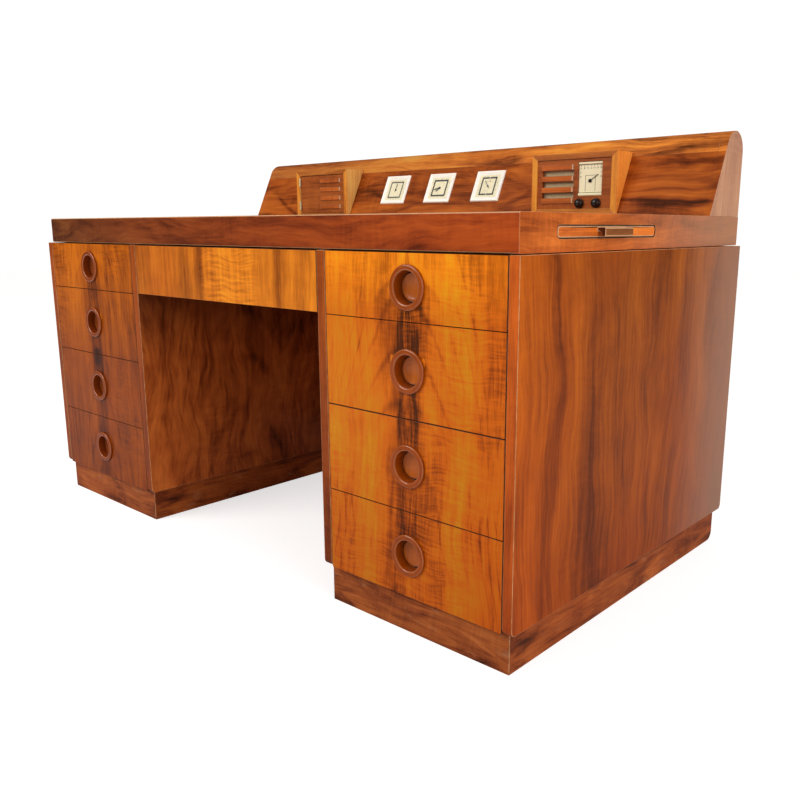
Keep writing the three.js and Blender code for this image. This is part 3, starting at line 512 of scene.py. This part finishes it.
# The cases' sides are painted much paler than the walnut, as if strongly lit from the right: painted light.
WEDGE = {"bands": (20.0, 3.0, 0.4), "contrast": 0.7}
wedge_lit_pale = veneer("walnut_case_side_lit_pale", "y", "z", "ffba62", seed=51.0, **WEDGE)
wedge_lit_amber = veneer("walnut_case_side_lit_amber", "y", "z", "ff963c", seed=53.0, **WEDGE)
panel_veneer = veneer("walnut_panel", "z", "x", "b05c26", seed=55.0, swirl=0.02, bands=(24.0, 3.0, 0.5),
                      streaks=(190.0, 5.0, 0.4))
slat_wood = veneer("walnut_slat", "z", "x", "c8692c", seed=56.0, swirl=0.01, bands=(40.0, 4.0, 0.5))
lining = veneer("walnut_lining", "z", "y", "6b3c22", seed=57.0, bands=(16.0, 2.0, 0.4), gloss=0.5)
OAK = {"mean": "c89a68", "bands": (20.0, 1.5, 0.35), "streaks": (240.0, 4.0, 0.35),
       "ripple": (20.0, 60.0, 0.03), "gloss": 0.55, "coat": 0.0, "contrast": 0.45}
oak_x = veneer("oak_drawer_ends", "z", "x", seed=59.0, **OAK)
oak_y = veneer("oak_drawer_sides", "z", "y", seed=61.0, **OAK)
oak_floor = veneer("oak_drawer_floors", "x", "y", seed=63.0, **OAK)
# The left pedestal's rings and cups are darker copies: painted shade.
ring_wood = {"left": turned_wood("turned_ring_left", "883b12", 0.22, 0.15),
             "right": turned_wood("turned_ring_right", "9c4409", 0.22, 0.15)}
cup_wood = {"left": turned_wood("turned_cup_left", "8a4216", 0.26, 0.3),
            "right": turned_wood("turned_cup_right", "bb5f1c", 0.26, 0.3)}
# The arrises' paler tones are partly rubbed wear and partly painted highlight where light catches the edge.
ring_line = arris("turned_rim", "a8501a", 0.14, 0.8)
gold_arris_wear_and_highlight = arris("arris_gold", "b4661f", 0.45)
# The drawer fronts' arrises are dark: painted shade in the joints between the drawers.
drawer_joint_shade = arris("arris_drawer", "6e3410", 0.08, 0.0)
# The slat arrises are darker than the slats: painted shade along their edges, with pale rubbed patches.
slat_arris_shade_and_wear = arris("arris_slat", "8a4820", 0.35)
# The slats' bevelled ends are nearly white: a painted highlight.
slat_end_highlight = arris("slat_end_painted_highlight", "e6c4a4", 1.0)
side_arris_wear_and_highlight = arris("arris_side", "a8602c", 0.7)
slab_arris_wear_and_highlight = arris("arris_slab", "dca070", 1.0)
grip_arris_wear_and_highlight = arris("arris_grip", "cf9f7c", 1.0)
plinth_arris_wear_and_highlight = arris("arris_plinth", "7d4a28", 0.7)
brass = plain("worn_brass", "f0ddae", 0.34, 0.25, 0.08)
# Near-white, not metallic and glowing faintly: painted reflection of bright surroundings on the chrome bezel.
chrome = plain("chrome", "fff8ea", 0.24, 0.0, 0.01, bump=0.000004, glow=0.16)
# The dial's faint glow is painted light.
cream = plain("cream_dial", "fdf0c4", 0.36, 0.0, 0.03, bump=0.000004, glow=0.05)
black = plain("black_enamel", "15120f", 0.35, 0.0, 0.1, polish=0.2)
red = plain("red_enamel", "b4341c", 0.4, 0.0, 0.1)
bakelite = plain("bakelite", "2a1610", 0.30, 0.0, 0.2, 200.0, 0.1, polish=0.3)
steel = plain("plated_steel", "8f9193", 0.4, 0.9, 0.1)
cloth = weave("grille_cloth")
glass = clear_glass("dial_glass")
# Near-black: painted shadow in the cups' moats, round the slide in its slot and along the radio dial's rolled
# lips.
shadow_paint = plain("painted_shadow_dark", "2a120a", 0.6, 0.0, 0.1)


# -------------------- pieces

def link(name, mesh, body, slot, stands_for=()):
    piece = bpy.data.objects.new(name, mesh)
    scene.collection.objects.link(piece)
    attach(piece, body)
    if stands_for:
        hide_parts(*stands_for)
    return piece


def soften(piece, width, segments=2, edge=None, angle=32):
    """Rounds the arrises; edge is the index of the material that the rounded strips take."""
    bevel = piece.modifiers.new("arrises", "BEVEL")
    bevel.width = width * MM
    bevel.segments = segments
    bevel.limit_method = "ANGLE"
    bevel.angle_limit = math.radians(angle)
    bevel.use_clamp_overlap = True
    bevel.material = -1 if edge is None else edge
    normals = piece.modifiers.new("normals", "WEIGHTED_NORMAL")
    normals.keep_sharp = True


def smooth_by_angle(work, angle=32):
    limit = math.radians(angle)
    for face in work.faces:
        face.smooth = True
    for edge in work.edges:
        edge.smooth = len(edge.link_faces) == 2 and edge.calc_face_angle(0) < limit


def finished(node, rules, width=0.8, segments=2, edge=None, split=None):
    """A refined copy of a CAD node. rules picks a material for each face by its direction.

    width and segments round its arrises, edge is their material, and split divides faces first.
    """
    work = bmesh.new()
    work.from_mesh(frame["nodes"][node].data)
    bmesh.ops.remove_doubles(work, verts=work.verts, dist=1e-6)
    bmesh.ops.dissolve_limit(work, angle_limit=math.radians(0.4), verts=work.verts, edges=work.edges)
    if split:
        split(work)
    materials = []
    for face in work.faces:
        material = rules(face.normal, face.calc_center_median())
        if material not in materials:
            materials.append(material)
        face.material_index = materials.index(material)
    smooth_by_angle(work)
    mesh = bpy.data.meshes.new(node + "_finished")
    work.to_mesh(mesh)
    work.free()
    for material in materials + ([edge] if edge else []):
        mesh.materials.append(material)
    piece = link(node + "_finished", mesh, home[node], finish_of[node], (node,))
    soften(piece, width, segments, len(materials) if edge else None)
    return piece


def by_axis(x_faces, y_faces, z_faces):
    """Rules that pick a material by the axis that a face looks along."""
    def rules(normal, _centre):
        size = [abs(normal.x), abs(normal.y), abs(normal.z)]
        return (x_faces, y_faces, z_faces)[size.index(max(size))]
    return rules


def facing(front, edges):
    """Rules for a board whose face is veneered and whose edges are not."""
    return lambda normal, _centre: front if normal.y < -0.9 else edges


def turned(name, sections, centre, body, slot, stands_for=(), steps=96):
    """Lathe work about the +Y direction. sections is a list of (material, [(radius, depth)...])."""
    work = bmesh.new()
    materials = []
    for material, profile in sections:
        if material not in materials:
            materials.append(material)
        loops = []
        for radius, depth in profile:
            if radius == 0:
                loops.append([work.verts.new(centre + Vector((0, depth * MM, 0)))] * steps)
                continue
            loop = []
            for step in range(steps):
                turn = 2 * math.pi * step / steps
                offset = Vector((radius * math.cos(turn), depth, radius * math.sin(turn))) * MM
                loop.append(work.verts.new(centre + offset))
            loops.append(loop)
        for near, far in zip(loops, loops[1:]):
            for step in range(steps):
                after = (step + 1) % steps
                corners = [near[step], near[after], far[after], far[step]]
                unique = list(dict.fromkeys(corners))
                if len(unique) > 2:
                    face = work.faces.new(unique)
                    face.material_index = materials.index(material)
    bmesh.ops.remove_doubles(work, verts=work.verts, dist=1e-7)
    bmesh.ops.recalc_face_normals(work, faces=work.faces)
    smooth_by_angle(work, 40)
    mesh = bpy.data.meshes.new(name)
    work.to_mesh(mesh)
    work.free()
    for material in materials:
        mesh.materials.append(material)
    return link(name, mesh, body, slot, stands_for)


CORNERS = ((-1, -1), (1, -1), (1, 1), (-1, 1))
INK = 0.05
SPINDLE_HOLE = 2.4


class Kit:
    """Collects small solids in a local frame and makes one piece of them."""

    def __init__(self, matrix):
        self.work = bmesh.new()
        self.matrix = matrix
        self.materials = []

    def index(self, material):
        if material not in self.materials:
            self.materials.append(material)
        return self.materials.index(material)

    def loft(self, loops, material, closed=True, capped=False):
        index = self.index(material)
        rows = [[self.work.verts.new(self.matrix @ Vector(p)) for p in loop] for loop in loops]
        for near, far in zip(rows, rows[1:]):
            count = len(near)
            for i in range(count if closed else count - 1):
                j = (i + 1) % count
                face = self.work.faces.new([near[i], near[j], far[j], far[i]])
                face.material_index = index
        if capped:
            for row in (rows[0], rows[-1]):
                face = self.work.faces.new(row)
                face.material_index = index

    def bar(self, x, y, z, material, turn=0.0, about=(0, 0)):
        """A block from x[0] to x[1] and so on, in millimetres, turned in its own plane."""
        loops = []
        c, s = math.cos(turn), math.sin(turn)
        for level in z:
            loop = []
            for px, py in ((x[0], y[0]), (x[1], y[0]), (x[1], y[1]), (x[0], y[1])):
                turned_x = about[0] + px * c - py * s
                turned_y = about[1] + px * s + py * c
                loop.append((turned_x * MM, turned_y * MM, level * MM))
            loops.append(loop)
        self.loft(loops, material, True, True)

    def plate(self, half, levels, material, square=True, steps=32):
        """A plate with a hole for a spindle, rectangular or round outside."""
        outer, inner = [], []
        for i in range(steps):
            c, s = math.cos(2 * math.pi * i / steps), math.sin(2 * math.pi * i / steps)
            far = max(abs(c), abs(s)) if square else 1
            outer.append((half[0] * c / far, half[1] * s / far))
            inner.append((SPINDLE_HOLE * c, SPINDLE_HOLE * s))
        low, high = levels
        rings = ((outer, low), (outer, high), (inner, high), (inner, low), (outer, low))
        self.loft([[(x * MM, y * MM, level * MM) for x, y in ring] for ring, level in rings], material)

    def frame(self, half, profile, material):
        """A mitred rectangular moulding. profile is (inset across, height), inset scaled to each side."""
        loops = []
        for inset, level in profile:
            w, h = half[0] - inset, half[1] - inset * half[1] / half[0]
            loops.append([(sx * w * MM, sy * h * MM, level * MM) for sx, sy in CORNERS])
        loops.append(loops[0])
        self.loft(loops, material)

    def glyph(self, text, size, centre, level, material):
        curve = bpy.data.curves.new("glyph", "FONT")
        curve.body = text
        curve.size = size * MM
        curve.align_x = "CENTER"
        curve.align_y = "CENTER"
        curve.extrude = INK * MM
        curve.resolution_u = 2
        holder = bpy.data.objects.new("glyph", curve)
        scene.collection.objects.link(holder)
        depsgraph = bpy.context.evaluated_depsgraph_get()
        mesh = bpy.data.meshes.new_from_object(holder.evaluated_get(depsgraph))
        bpy.data.objects.remove(holder)
        bpy.data.curves.remove(curve)
        place = self.matrix @ Matrix.Translation(Vector((centre[0], centre[1], level)) * MM)
        start = len(self.work.faces)
        mesh.transform(place)
        self.work.from_mesh(mesh)
        self.work.faces.ensure_lookup_table()
        for face in self.work.faces[start:]:
            face.material_index = self.index(material)
        bpy.data.meshes.remove(mesh)

    def piece(self, name, body, slot, stands_for=(), bevel=0.0):
        bmesh.ops.remove_doubles(self.work, verts=self.work.verts, dist=1e-8)
        bmesh.ops.recalc_face_normals(self.work, faces=self.work.faces)
        smooth_by_angle(self.work)
        mesh = bpy.data.meshes.new(name)
        self.work.to_mesh(mesh)
        self.work.free()
        for material in self.materials:
            mesh.materials.append(material)
        made = link(name, mesh, body, slot, stands_for)
        if bevel:
            soften(made, bevel)
        return made


# -------------------- pedestals and drawers

def pedestal(hand):
    def side_rules(normal, _centre):
        if abs(normal.x) > 0.9:
            return side_veneer
        return edge_veneer if hand == "right" else shaded_edge_strip

    def knee_rules(normal, _centre):
        return knee_veneer if abs(normal.x) > 0.9 else shaded_edge_strip

    finished(f"{hand}_outer_side", side_rules, 0.9, 2, side_arris_wear_and_highlight)
    finished(f"{hand}_inner_side", knee_rules, 0.8, 2, side_arris_wear_and_highlight)
    finished(f"{hand}_back", by_axis(edge_veneer, edge_veneer, edge_veneer), 0.6)
    finished(f"{hand}_runner_frame", by_axis(oak_y, oak_x, oak_floor), 0.5, 1)
    finished(f"{hand}_plinth", by_axis(plinth_y, plinth_x, plinth_x), 1.0, 2, plinth_arris_wear_and_highlight)


def ring_pull(name, node, body, wood, dish):
    """A turned ring round a dished cup. Each outline is (radius, depth behind the drawer front)."""
    low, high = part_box(node)
    centre = Vector(((low.x + high.x) / 2, FRONT, (low.z + high.z) / 2))
    ring = [(31.4, 0.2), (39.1, 0.2), (39.2, -2.4), (38.9, -3.8)]
    outer_rim = [(38.9, -3.8), (38.3, -4.9), (37.2, -5.5)]
    crest = [(37.2, -5.5), (35.2, -5.9), (33.0, -6.0), (31.0, -5.75)]
    inner_rim = [(31.0, -5.75), (29.6, -5.2), (28.8, -4.2)]
    wall = [(28.8, -4.2), (28.6, -2.5), (28.6, 12.0), (28.3, 13.8), (27.6, 14.6)]
    moat = [(27.6, 14.6), (25.7, 14.6), (25.0, 13.4)]
    bead = [(25.0, 13.4), (24.4, 12.1), (23.2, 11.8)]
    floor = [(23.2, 11.8), (20.0, 12.9), (14.0, 14.2), (7.0, 15.0), (0, 15.3)]
    back = [(0, 19.1), (31.4, 19.1), (31.4, 0.2)]
    # The moat is painted as shadow; the rims and the bead take the paler arris.
    sections = [(wood, ring), (ring_line, outer_rim), (wood, crest), (ring_line, inner_rim), (wood, wall),
                (shadow_paint, moat), (ring_line, bead), (dish, floor), (wood, back)]
    turned(name, sections, centre, body, "pull_wood", (node,))


def drawers(hand):
    for number in range(1, 5):
        name = f"{hand}_drawer_{number}"
        finished(name + "_front", facing(fronts[hand], shadow_edge_faces), 0.7, 2, drawer_joint_shade)
        finished(name + "_box", by_axis(oak_y, oak_x, oak_floor), 0.8)
        ring_pull(name + "_ring", name + "_pull", name, ring_wood[hand], cup_wood[hand])


for hand in ("left", "right"):
    pedestal(hand)
    drawers(hand)
finished("centre_drawer_front", facing(centre_veneer, shadow_edge_faces), 0.7, 2, drawer_joint_shade)
finished("centre_drawer_box", by_axis(oak_y, oak_x, oak_floor), 0.8)
finished("modesty_panel", by_axis(knee_veneer, edge_veneer, edge_veneer), 0.6)


# -------------------- desktop and slide

slot_low, slot_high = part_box("writing_slide")
SLOT_GAP = 3 * MM
SLOT_BACK = 20 * MM
SLOT_MOUTH = 2 * MM
GRIP_ZONE = 50 * MM
GRIP_REACH = 40 * MM
SLIDE_CHAMFER = 2.2 * MM


def slab_rules(normal, centre):
    # The slot's inside is painted as shadow.
    lengthways = slot_low.x - SLOT_BACK < centre.x < slab_high.x - SLOT_MOUTH
    across = slot_low.y - SLOT_GAP < centre.y < slot_high.y + SLOT_GAP
    if lengthways and across and slot_low.z - SLOT_GAP < centre.z < slot_high.z + SLOT_GAP:
        return shadow_edge_faces
    if abs(normal.x) < 0.1 and 0.2 < abs(normal.z) < 0.98:
        return slab_arris_wear_and_highlight
    return by_axis(slab_end, slab_front, slab_top)(normal, centre)


finished("desktop", slab_rules, 1.8, 3, slab_arris_wear_and_highlight)


def slide_rules(normal, centre):
    # The chamfer round the slide's end takes painted shadow, and so do the grip's front and back ends.
    if centre.x < slab_high.x + 1 * MM:
        if 0.3 < normal.x < 0.9:
            return shadow_paint
        return by_axis(slide_face, slide_top, slide_top)(normal, centre)
    return by_axis(grip_wood, shadow_edge_faces, grip_wood)(normal, centre)


def slide_chamfer(work):
    """Takes the edge off the slide's end; the chamfer is painted as shadow, so that a dark line shows round it in
    the slot.
    """
    rim = []
    for edge in work.edges:
        if len(edge.link_faces) != 2:
            continue
        first, second = sorted(edge.link_faces, key=lambda face: -abs(face.normal.x))
        end = abs(first.normal.x) > 0.9 and first.calc_center_median().x > slot_high.x - GRIP_REACH
        board = abs(second.normal.x) < 0.1 and second.calc_center_median().x < slab_high.x - GRIP_ZONE
        if end and board:
            rim.append(edge)
    bmesh.ops.bevel(work, geom=rim, offset=SLIDE_CHAMFER, segments=1, affect="EDGES", profile=0.5)


finished("writing_slide", slide_rules, 0.9, 2, grip_arris_wear_and_highlight, slide_chamfer)


# -------------------- gallery

CAP_JOINT = 895 * MM


def gallery_rules(normal, centre):
    if abs(normal.x) > 0.9:
        return end_veneer
    if normal.y > 0.9:
        return edge_veneer
    return gallery_veneer if centre.z < CAP_JOINT else cap_veneer


def cap_line(work):
    """Divides the end boards where the joint between face and cap runs."""
    geometry = list(work.verts) + list(work.edges) + list(work.faces)
    bmesh.ops.bisect_plane(work, geom=geometry, plane_co=(0, 0, CAP_JOINT), plane_no=(0, 0, 1))


finished("gallery_carcase", gallery_rules, 0.8, 2, side_arris_wear_and_highlight, cap_line)
finished("gallery_face", lambda normal, _c: gallery_veneer, 0.5)
finished("gallery_cap", lambda normal, _c: cap_veneer, 0.5, 2, gold_arris_wear_and_highlight)


CASE_WALL = 15 * MM
CASE_OPENING = (0.7795, 0.8925)
UPRIGHT_OUT = 0.1


def case_rules(wedge, middle):
    def rules(normal, centre):
        if normal.y < -0.9:
            return strip_upright if abs(centre.x - middle.x) > UPRIGHT_OUT else strip_rail
        if abs(normal.x) > 0.9:
            return wedge
        return lining
    return rules


def mitred(opening_low, opening_high, low, high):
    """Cuts the front face of a case along its four mitres."""
    def split(work):
        for x_in, x_out in ((opening_low.x, low.x), (opening_high.x, high.x)):
            for z_in, z_out in ((opening_low.z, low.z), (opening_high.z, high.z)):
                along = Vector((x_out - x_in, 0, z_out - z_in))
                normal = Vector((along.z, 0, -along.x)).normalized()
                corner = Vector((x_in, low.y, z_in))
                faces = [f for f in work.faces if f.normal.y < -0.9
                         and any((v.co - corner).length < 1e-4 for v in f.verts)]
                edges = list({e for f in faces for e in f.edges})
                verts = list({v for f in faces for v in f.verts})
                geometry = faces + edges + verts
                if faces:
                    bmesh.ops.bisect_plane(work, geom=geometry, plane_co=corner, plane_no=normal)
    return split


SLAT_FACE = at(0, 692.5, 0).y


def panel_rules(normal, centre):
    if 0.2 < normal.x < 0.9:
        return slat_end_highlight
    return slat_wood if centre.y < SLAT_FACE else panel_veneer


def gallery_case(node, panel, wedge):
    low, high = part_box(node)
    inner_low = Vector((low.x + CASE_WALL, low.y, CASE_OPENING[0]))
    inner_high = Vector((high.x - CASE_WALL, low.y, CASE_OPENING[1]))
    mitres = mitred(inner_low, inner_high, low, high)
    finished(node, case_rules(wedge, (low + high) / 2), 0.5, 2, gold_arris_wear_and_highlight, mitres)
    finished(panel, panel_rules, 0.6, 2, slat_arris_shade_and_wear)


gallery_case("cabinet_case", "cabinet_door", wedge_lit_pale)
gallery_case("radio_case", "radio_panel", wedge_lit_amber)

for node in ("cabinet_hinge_upper", "cabinet_hinge_lower"):
    finished(node, lambda normal, _c: brass, 0.3)


# -------------------- instruments

def face_frame(joint_name):
    """The frame of an instrument: x to the right, y up the slope, z straight out of the face."""
    joint = joint_of[joint_name]
    out = -Vector(joint["axis"]).normalized()
    right = Vector((1, 0, 0))
    up = out.cross(right)
    place = Matrix((right, up, out)).transposed().to_4x4()
    return Matrix.Translation(Vector(joint["pos_m"])) @ place


# The bezel's outline: how far in from its edge, and how high.
BEZEL = [(0, 0.35), (0, 1.6), (0.5, 3.2), (1.6, 4.7), (2.4, 5.0), (3.4, 5.0), (4.2, 4.7), (10.6, 2.0),
         (11.4, 1.9), (12.0, 1.5), (12.0, 0.9), (11.0, 0.35)]
BEZEL_HALF = (45, 42.5)
DIAL_HALF = (33.2, 31.2)
CAN_HALF = (34, 34)
GLASS_HALF = (37.5, 35.4)
PRINT = (1.5, 1.65)
PRINT_MIDDLE = 1.58
HUB = (1.6, 2.0)


def instrument(name, joint_name, chapters, numerals, extras):
    place = face_frame(joint_name)
    kit = Kit(place)
    kit.frame(BEZEL_HALF, BEZEL, chrome)
    kit.piece(name + "_bezel", "desk", "chrome_bezel", (name + "_case",), 0.25)
    kit = Kit(place)
    kit.plate(DIAL_HALF, (0.9, PRINT[0]), cream)
    kit.plate(CAN_HALF, (-32, 0.2), steel, False)
    kit.piece(name + "_dial", "desk", "cream_enamel")
    kit = Kit(place)
    for x, y in chapters:
        kit.bar(x, y, PRINT, black)
    for text, size, x, y in numerals:
        kit.glyph(text, size, (x, y), PRINT_MIDDLE, black)
    extras(kit)
    kit.piece(name + "_marks", "desk", "black_hand")
    kit = Kit(place)
    wide, tall = GLASS_HALF
    kit.bar((-wide, wide), (-tall, tall), (4.55, 4.8), glass)
    kit.piece(name + "_glass", "desk", "dial_glass")


CHAPTER_GAP = 0.7


def chapter_frame(width, height, thick, broken=False):
    """The black rectangle that carries the scale. Broken leaves a gap in the middle of two sides."""
    bars = []
    w, h = width / 2, height / 2
    for sign in (-1, 1):
        for span in ((-w, -CHAPTER_GAP), (CHAPTER_GAP, w)) if broken else ((-w, w),):
            bars.append((span, sorted((sign * h, sign * (h - thick)))))
        bars.append((sorted((sign * w, sign * (w - thick))), (-h + thick, h - thick)))
    return bars


TICK_HALF = 0.18
LONG_TICK = 1.8
SHORT_TICK = 1.0


def tick_row(kit, half, reach, count, skip):
    """Marks round a rectangle, outside it; every one in skip is long."""
    for i in range(count):
        t = -1 + 2 * (i + 0.5) / count
        long = LONG_TICK if i % skip == 0 else SHORT_TICK
        for side, sign in ((1, 1), (0, 1), (1, -1), (0, -1)):
            outwards = sorted((sign * (half[side] + reach), sign * (half[side] + reach + long)))
            middle = t * half[1 - side]
            along = (middle - TICK_HALF, middle + TICK_HALF)
            kit.bar(*((along, outwards) if side else (outwards, along)), PRINT, black)


def thermometer_marks(kit):
    tick_row(kit, (24.0, 24.0), 0.9, 10, 2)
    kit.plate((3.2, 3.2), HUB, black, False, 20)
    kit.bar((-6, 6), (14.2, 14.6), PRINT, black)


def clock_marks(kit):
    tick_row(kit, (24.6, 23.8), 0.8, 6, 6)
    kit.plate((3.8, 3.8), HUB, black, False, 20)


def barometer_marks(kit):
    tick_row(kit, (23.6, 24.6), 0.8, 12, 3)
    kit.bar((-12, 12), (12.0, 12.3), PRINT, black)
    kit.bar((-9, 9), (-13.5, -13.2), PRINT, black)
    kit.bar((-0.5, 0.5), (10.5, 20.0), (PRINT[1], 1.8), red, -0.12, (2.0, 0))


HOURS_OUT = (27.5, 25.8)
NUMERAL_ROW = 26.4
clock_numerals = []
for hour in range(1, 13):
    turn = math.radians(90 - 30 * hour)
    c, s = math.cos(turn), math.sin(turn)
    stretch = min(HOURS_OUT[0] / max(abs(c), 1e-6), HOURS_OUT[1] / max(abs(s), 1e-6))
    clock_numerals.append((str(hour), 4.2, stretch * c, stretch * s))
degree_numerals = [(str(value), 3.0, x, NUMERAL_ROW) for value, x in
                   ((40, -18), (50, -9), (60, 0), (70, 9), (80, 18))]
degree_numerals += [(str(value), 3.0, x, -NUMERAL_ROW) for value, x in
                    ((30, -18), (20, -9), (10, 0), (90, 9), (100, 18))]
pressure_numerals = [(str(value), 3.2, x, NUMERAL_ROW) for value, x in
                     ((28, -18), (29, -8), (30, 8), (31, 18))]
pressure_numerals += [(str(value), 3.2, x, y) for value, x, y in
                      ((27, -27.6, 8), (32, 27.6, 8), (26, -27.6, -10), (33, 27.6, -10))]
instrument("thermometer", "thermometer_hand_turn", chapter_frame(48.5, 49, 3.4), degree_numerals,
           thermometer_marks)
instrument("clock", "minute_hand_turn", chapter_frame(50, 48.5, 4.6), clock_numerals, clock_marks)
instrument("barometer", "barometer_hand_turn", chapter_frame(47.5, 50, 4.2, True), pressure_numerals,
           barometer_marks)

for node in ("thermometer_hand", "minute_hand", "hour_hand", "barometer_hand", "radio_pointer"):
    finished(node, lambda normal, _c: black, 0.12)


# -------------------- radio

RADIO = Matrix.Translation(at(488, 698, 842.3)) @ Matrix(((1, 0, 0), (0, 0, -1), (0, 1, 0))).to_4x4()
RADIO_PRINT = (0.02, 0.14)
RADIO_FIGURE = 6.0
CLOTH_LOW, CLOTH_HIGH = at(352, 704.3, 796), at(447, 704.9, 879)


def radio_dial():
    finished("radio_dial", lambda normal, _c: cream, 0.3)
    kit = Kit(RADIO)
    for step in range(7):
        x = -25 + 8.6 * step
        kit.glyph(str(6 + 2 * step), RADIO_FIGURE, (x, 28.5), 0.08, black)
        kit.bar((x - 0.5, x + 0.5), (32.5, 34.8), RADIO_PRINT, black)
    for step, y in enumerate((19, 9)):
        for x in (-26, 28):
            kit.glyph(str(5 + 3 * step), RADIO_FIGURE, (x, y), 0.08, black)
    for x in (-13.0, 13.0):
        kit.bar((x - 0.45, x + 0.45), (-24, 12), RADIO_PRINT, black)
    kit.bar((-13.0, 13.0), (11.6, 12.4), RADIO_PRINT, black)
    # Dark lines along the rolled lips, top and bottom: painted shade.
    for y in (35.4, -27.2):
        kit.bar((-30, 31), (y, y + 1.1), RADIO_PRINT, shadow_paint)
    kit.piece("radio_dial_marks", "desk", "black_hand")


def radio_cloth():
    kit = Kit(Matrix.Identity(4))
    loops = []
    for y in (CLOTH_LOW.y, CLOTH_HIGH.y):
        loops.append([(CLOTH_LOW.x, y, CLOTH_LOW.z), (CLOTH_HIGH.x, y, CLOTH_LOW.z),
                      (CLOTH_HIGH.x, y, CLOTH_HIGH.z), (CLOTH_LOW.x, y, CLOTH_HIGH.z)])
    kit.loft(loops, cloth, True, True)
    piece = kit.piece("radio_grille_cloth", "desk", "grille_cloth")


def knob(node):
    low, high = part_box(node)
    centre = Vector(((low.x + high.x) / 2, low.y, (low.z + high.z) / 2))
    length = (high.y - low.y) / MM
    dome = [(0, 0), (2.5, 0.1), (4.6, 0.45), (6.6, 1.15), (8.2, 2.2), (9.3, 3.5), (9.9, 5.0), (10.3, 7.0)]
    skirt = [(10.3, 7.0), (10.5, 7.6), (11.4, 8.6), (11.6, 9.4), (11.6, 11.4), (11.2, 11.9), (3.0, 11.9)]
    stem = [(3.0, 11.9), (3.0, length), (0, length)]
    sections = [(bakelite, dome), (bakelite, skirt), (steel, stem)]
    turned(node + "_moulded", sections, centre, node, "bakelite", (node,), 64)


radio_dial()
radio_cloth()
knob("volume_knob")
knob("tuning_knob")
finished("radio_chassis", lambda normal, _c: steel, 0.5)


# -------------------- surroundings

FLOOR_REACH = 14.0
FLOOR_GLOW = 0.66
SKY_SEEN = 1.05
SKY_DIRECTION = (0.62, 0.35, 0.35)
SKY_IN_POLISH = 0.10


def floor():
    """A pale floor that shows as white and lights the desk only as a pale floor does."""
    work = bmesh.new()
    work.faces.new([work.verts.new((sx * FLOOR_REACH, sy * FLOOR_REACH, 0)) for sx, sy in CORNERS])
    mesh = bpy.data.meshes.new("floor")
    work.to_mesh(mesh)
    work.free()
    g = Graph("floor_white")
    cloud = g.noise(g.place(), 3.0, 2.0)
    seen = g.node("LightPath").outputs["Is Camera Ray"]
    g.set(Base_Color=g.mix(cloud, (0.60, 0.59, 0.58, 1), (0.62, 0.61, 0.60, 1)), Roughness=0.9)
    g.set(Emission_Color=(1, 1, 1, 1), Emission_Strength=g.times(seen, FLOOR_GLOW))
    mesh.materials.append(g.material)
    piece = bpy.data.objects.new("floor", mesh)
    scene.collection.objects.link(piece)


def sky():
    """White to the camera, brighter from the right rear, and dim in what the polish reflects."""
    world = bpy.data.worlds.new("studio")
    world.use_nodes = True
    scene.world = world
    t = Tree(world.node_tree)
    path = t.node("LightPath").outputs
    direction = t.node("TexCoord").outputs["Generated"]
    facing_sky = t.node("VectorMath", {"operation": "DOT_PRODUCT"}, {0: direction, 1: SKY_DIRECTION})
    strength = t.reach(facing_sky.outputs["Value"], -0.5, 0.8, 0.42, 1.0)
    strength = t.times(strength, t.reach(path["Is Glossy Ray"], 0.0, 1.0, 1.0, SKY_IN_POLISH))
    lit = t.node("Background", None, {1: strength})
    seen = t.node("Background", None, {0: (1, 1, 1, 1), 1: SKY_SEEN})
    mix = t.node("MixShader", None, {0: path["Is Camera Ray"], 1: lit.outputs[0], 2: seen.outputs[0]})
    t.node("OutputWorld", None, {0: mix.outputs[0]})


def area_light(name, place, target, size, power):
    light = bpy.data.lights.new(name, "AREA")
    light.shape = "RECTANGLE"
    light.size, light.size_y = size
    light.energy = power
    holder = bpy.data.objects.new(name, light)
    holder.location = place
    holder.rotation_euler = (Vector(target) - Vector(place)).to_track_quat("-Z", "Y").to_euler()
    scene.collection.objects.link(holder)


EYE = at(1495.4, -999.8, 736.5)
YAW = 0.727
PITCH = 0.209
FOCAL = 36.45
SHIFT = (-0.035, -0.001)


def camera():
    lens = bpy.data.cameras.new("camera")
    lens.sensor_width = 36
    lens.lens = FOCAL
    lens.shift_x, lens.shift_y = SHIFT
    lens.clip_end = 60
    holder = bpy.data.objects.new("camera", lens)
    ahead = (-math.sin(YAW) * math.cos(PITCH), math.cos(YAW) * math.cos(PITCH), -math.sin(PITCH))
    holder.location = EYE
    holder.rotation_euler = Vector(ahead).to_track_quat("-Z", "Y").to_euler()
    scene.collection.objects.link(holder)
    scene.camera = holder


floor()
sky()
area_light("key", (-1.6, -3.4, 2.6), (0, -0.2, 0.5), (2.4, 1.8), 95)
area_light("fill", (3.4, -0.6, 1.6), (0.6, 0.0, 0.4), (2.2, 2.2), 38)
camera()
scene.view_settings.view_transform = "Standard"

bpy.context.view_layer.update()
